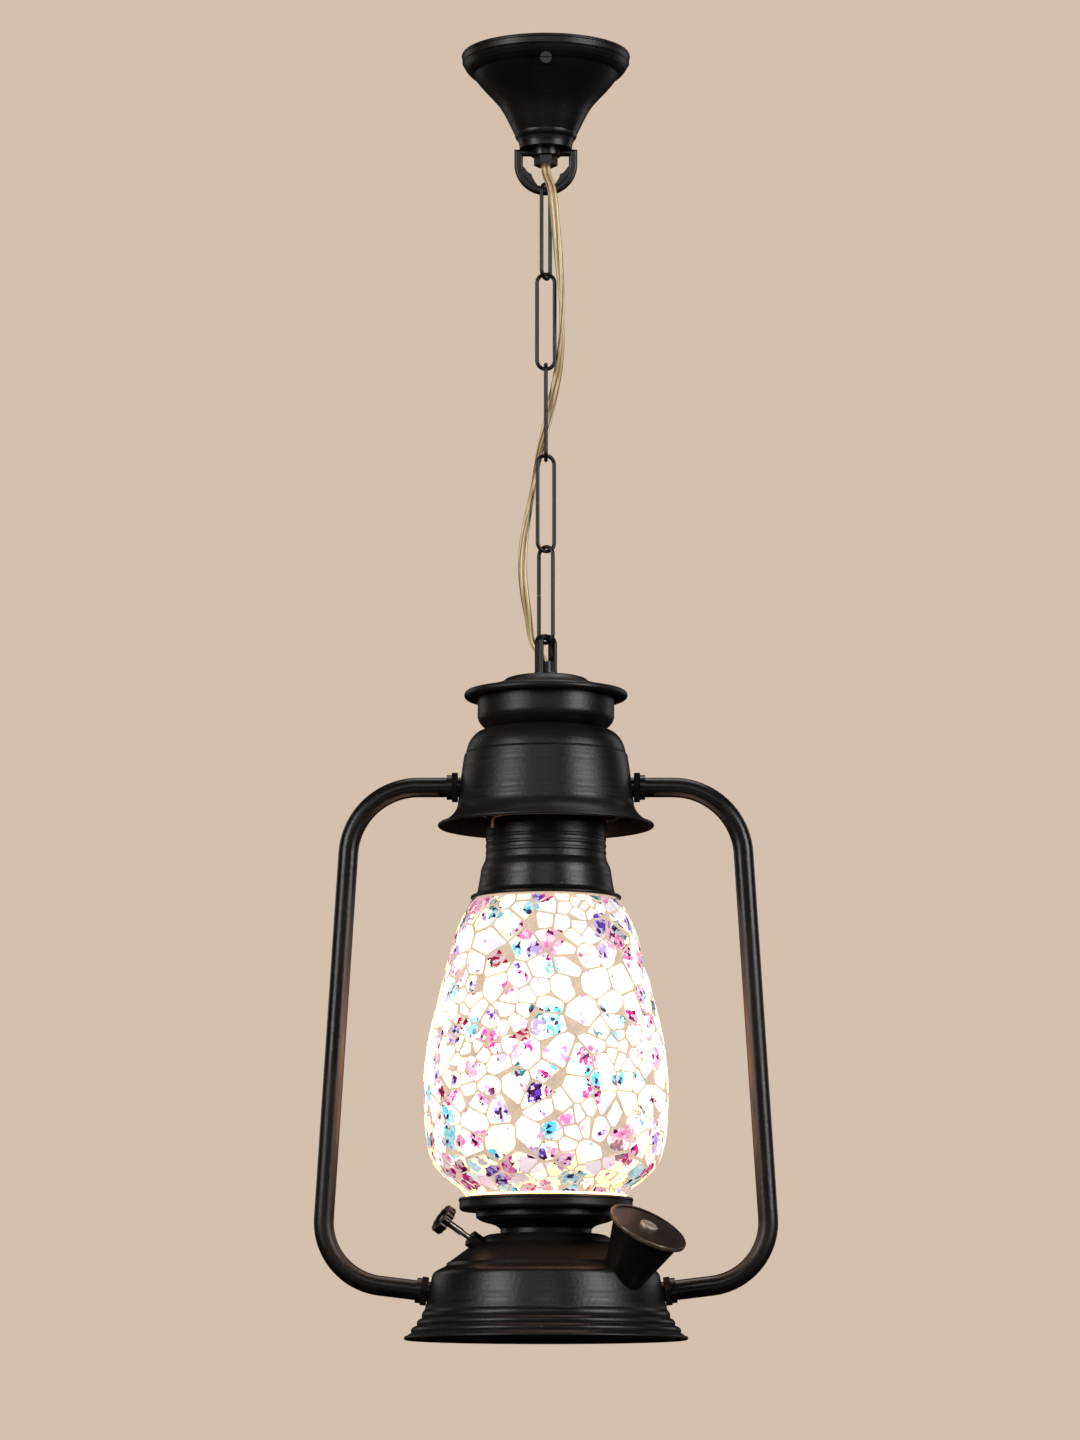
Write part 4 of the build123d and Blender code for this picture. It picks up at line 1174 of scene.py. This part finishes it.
# The solids that stay in view, by finish
SOLIDS = {
    "spun_paint": (
        "ceiling_cup",
        "cap_lid",
        "cap_bowl",
        "hood",
        "neck",
        "gallery_dish",
        "gallery_waist",
        "base",
    ),
    "sprayed_paint": (
        "cup_loop",
        "cup_nut",
        "hanger",
        "lamp_stem",
        "side_tube_left",
        "side_tube_right",
        "tube_nuts_inner",
        "tube_nuts_outer",
        "tube_ferrules",
        "filler_neck",
        "knob_bush",
    ),
    "chain_black": ("cup_side_screws", *(f"chain_{link}" for link in LINKS)),
    "worn_steel": ("wick_pin",),
    "dark_steel": ("wick_knob",),
    "screw_steel": ("fuel_cap_screw",),
    "zinc": (
        "ceiling_strap",
        "cup_nipple",
        "cup_locknut",
        "stem_nuts",
        "centre_bolt",
        "centre_nut",
        "bulb_cap",
    ),
    "brass": ("holder_sleeve", "terminal_screws"),
    "black_moulding": ("lamp_holder", "terminal_block"),
    "ceramic": ("holder_core",),
    "lead_sheath": ("cup_lead", "holder_lead"),
    "lit_bulb": ("bulb_glass",),
    "worn_cap": ("fuel_cap",),
}


def paint_solids():
    """Give every solid that stays in view its finish."""
    given = colours()
    spun_paint()
    finish_of("sprayed_paint", satin_paint, given.paint, SPRAYED_ROUGH)
    finish_of("chain_black", satin_paint, given.chain, CHAIN_ROUGH)
    finish_of("worn_steel", bare_metal, given.steel, POLISHED_ROUGH, STEEL_STAIN)
    finish_of("brass", bare_metal, given.brass, POLISHED_ROUGH, BRASS_STAIN)
    finish_of("lit_bulb", lit_glass, given.glow, BULB_GLOW, BULB_ROUGH)
    finish_of("worn_cap", worn_cap)
    for name, look in SMALL_METALS.items():
        finish_of(name, bare_metal, *look)
    for name, look in MOULDINGS.items():
        finish_of(name, moulded, *look)
    for name, nodes in SOLIDS.items():
        for node in nodes:
            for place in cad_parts[node].material_slots:
                place.material = bpy.data.materials[name]


# Stage

CAMERA_PLACE = (-3 * MM, -2.64, -0.734)
CAMERA_PITCH = radians(8.35)
LENS = 131.75
SENSOR_WIDTH = 36.0
VIEW_END = 60.0  # the camera sees no farther
ROOM_HEIGHT = 2.4  # from the floor to the ceiling that the cup is on
ROOM_GLOW = 0.015  # of the background, in reflections
FLOOR_SIDE = 28.0
FLOOR_GLOW = 0.99
AIM = (0, 0, -0.42)
# Each softbox: name, place, width, height, watts
SOFTBOXES = (
    ("left", (-1.9, -1.6, 0.25), 1.1, 1.4, 28),
    ("right", (2.0, -1.45, 0.2), 1.2, 1.4, 33),
    ("front", (-0.1, -2.4, 0.65), 1.2, 0.7, 4.5),
    ("top", (0.2, 0.6, 1.9), 1.4, 1.4, 16),
    ("low", (0.0, -2.2, -1.35), 1.6, 0.5, 1),
    ("back_left", (-1.7, 1.7, 0.2), 0.8, 1.6, 3),
    ("back_right", (1.7, 1.7, 0.2), 0.8, 1.6, 3),
)


def set_world():
    """The studio's background in view, and a dim room in reflections."""
    world = bpy.data.worlds.new("studio")
    bpy.context.scene.world = world
    world.use_nodes = True
    tree = world.node_tree
    backdrop = opaque(colours().backdrop)
    room = tree.nodes["Background"]
    fix(room, {"Color": backdrop, "Strength": ROOM_GLOW})
    wall = put(tree, "ShaderNodeBackground", None, {"Color": backdrop, "Strength": 1.0})
    seen = put(tree, "ShaderNodeLightPath").outputs["Is Camera Ray"]
    both = put(tree, "ShaderNodeMixShader", links={0: seen, 1: room.outputs[0], 2: wall.outputs[0]})
    tree.links.new(both.outputs[0], tree.nodes["World Output"].inputs["Surface"])


def set_softboxes():
    """The studio's lights, all facing the lantern's middle."""
    for name, place, width, height, watts in SOFTBOXES:
        light = bpy.data.lights.new(name, "AREA")
        light.shape = "RECTANGLE"
        light.size = width
        light.size_y = height
        light.energy = watts
        box = bpy.data.objects.new(name, light)
        box.location = place
        box.rotation_mode = "QUATERNION"
        box.rotation_quaternion = (Vector(AIM) - Vector(place)).to_track_quat("-Z", "Y")
        bpy.context.scene.collection.objects.link(box)


def set_camera():
    """The camera, where the photograph was taken from."""
    camera = bpy.data.cameras.new("photo_camera")
    camera.lens = LENS
    camera.sensor_width = SENSOR_WIDTH
    camera.clip_end = VIEW_END
    eye = bpy.data.objects.new("photo_camera", camera)
    eye.location = CAMERA_PLACE
    eye.rotation_euler = (pi / 2 + CAMERA_PITCH, 0, 0)
    bpy.context.scene.collection.objects.link(eye)
    bpy.context.scene.camera = eye


def set_stage():
    """Floor, softboxes, camera and background."""
    clear_selection()
    bpy.ops.mesh.primitive_plane_add(size=FLOOR_SIDE, location=(0, 0, -ROOM_HEIGHT))
    floor = bpy.context.object
    floor.name = "studio_floor"
    paper = finish_of("pale_floor", seamless_floor, colours().backdrop, FLOOR_GLOW)
    floor.data.materials.append(paper)
    floor.visible_diffuse = False
    floor.visible_glossy = False
    set_softboxes()
    set_camera()
    set_world()
    bpy.context.scene.view_settings.view_transform = "Standard"
    bpy.context.scene.cycles.use_denoising = True


# Operators


class LANTERN_OT_flex(bpy.types.Operator):
    """Make the twin flex beside the chain"""

    bl_idname = "lantern.flex"
    bl_label = "Twin flex"

    def execute(self, context):
        make_flex()
        return {"FINISHED"}


class LANTERN_OT_spring(bpy.types.Operator):
    """Make the spring under the hood"""

    bl_idname = "lantern.spring"
    bl_label = "Neck spring"

    def execute(self, context):
        make_spring()
        return {"FINISHED"}


class LANTERN_OT_globe(bpy.types.Operator):
    """Make the globe's glass and its grout"""

    bl_idname = "lantern.globe"
    bl_label = "Globe"

    def execute(self, context):
        make_globe()
        return {"FINISHED"}


class LANTERN_OT_chips(bpy.types.Operator):
    """Lay the mosaic chips on the globe"""

    bl_idname = "lantern.chips"
    bl_label = "Mosaic chips"

    def execute(self, context):
        make_chips()
        return {"FINISHED"}


class LANTERN_OT_hems(bpy.types.Operator):
    """Roll the edges of the spun sheet"""

    bl_idname = "lantern.hems"
    bl_label = "Rolled hems"

    def execute(self, context):
        for hem in HEMS:
            make_hem(*hem)
        return {"FINISHED"}


class LANTERN_OT_paint(bpy.types.Operator):
    """Give the solids their finishes"""

    bl_idname = "lantern.paint"
    bl_label = "Paint and metal"

    def execute(self, context):
        paint_solids()
        return {"FINISHED"}


class LANTERN_OT_stage(bpy.types.Operator):
    """Set the floor, the lights and the camera"""

    bl_idname = "lantern.stage"
    bl_label = "Stage"

    def execute(self, context):
        set_stage()
        return {"FINISHED"}


class LANTERN_PT_looks(bpy.types.Panel):
    """Lists the lantern's pieces"""

    bl_label = "Lantern"
    bl_space_type = "VIEW_3D"
    bl_region_type = "UI"
    bl_category = "Lantern"

    def draw(self, context):
        for operator in OPERATORS:
            self.layout.operator(operator.bl_idname)
        for group in (context.scene.lantern_sizes, context.scene.lantern_colours):
            for name in group.bl_rna.properties.keys():
                if name not in ("rna_type", "name"):
                    self.layout.prop(group, name)


OPERATORS = (
    LANTERN_OT_stage,
    LANTERN_OT_flex,
    LANTERN_OT_spring,
    LANTERN_OT_globe,
    LANTERN_OT_chips,
    LANTERN_OT_hems,
    LANTERN_OT_paint,
)
CLASSES = (LanternSizes, LanternColours, *OPERATORS, LANTERN_PT_looks)


def register():
    """Register the classes and hang the sizes and colours on the scene."""
    for made in CLASSES:
        bpy.utils.register_class(made)
    bpy.types.Scene.lantern_sizes = bpy.props.PointerProperty(type=LanternSizes)
    bpy.types.Scene.lantern_colours = bpy.props.PointerProperty(type=LanternColours)


def unregister():
    """Take the classes off again."""
    del bpy.types.Scene.lantern_colours
    del bpy.types.Scene.lantern_sizes
    for made in reversed(CLASSES):
        bpy.utils.unregister_class(made)


def main():
    """Dress the lantern."""
    register()
    bpy.ops.lantern.stage()
    bpy.ops.lantern.flex()
    bpy.ops.lantern.spring()
    bpy.ops.lantern.globe()
    bpy.ops.lantern.chips()
    bpy.ops.lantern.hems()
    bpy.ops.lantern.paint()


if __name__ == "__main__":
    main()
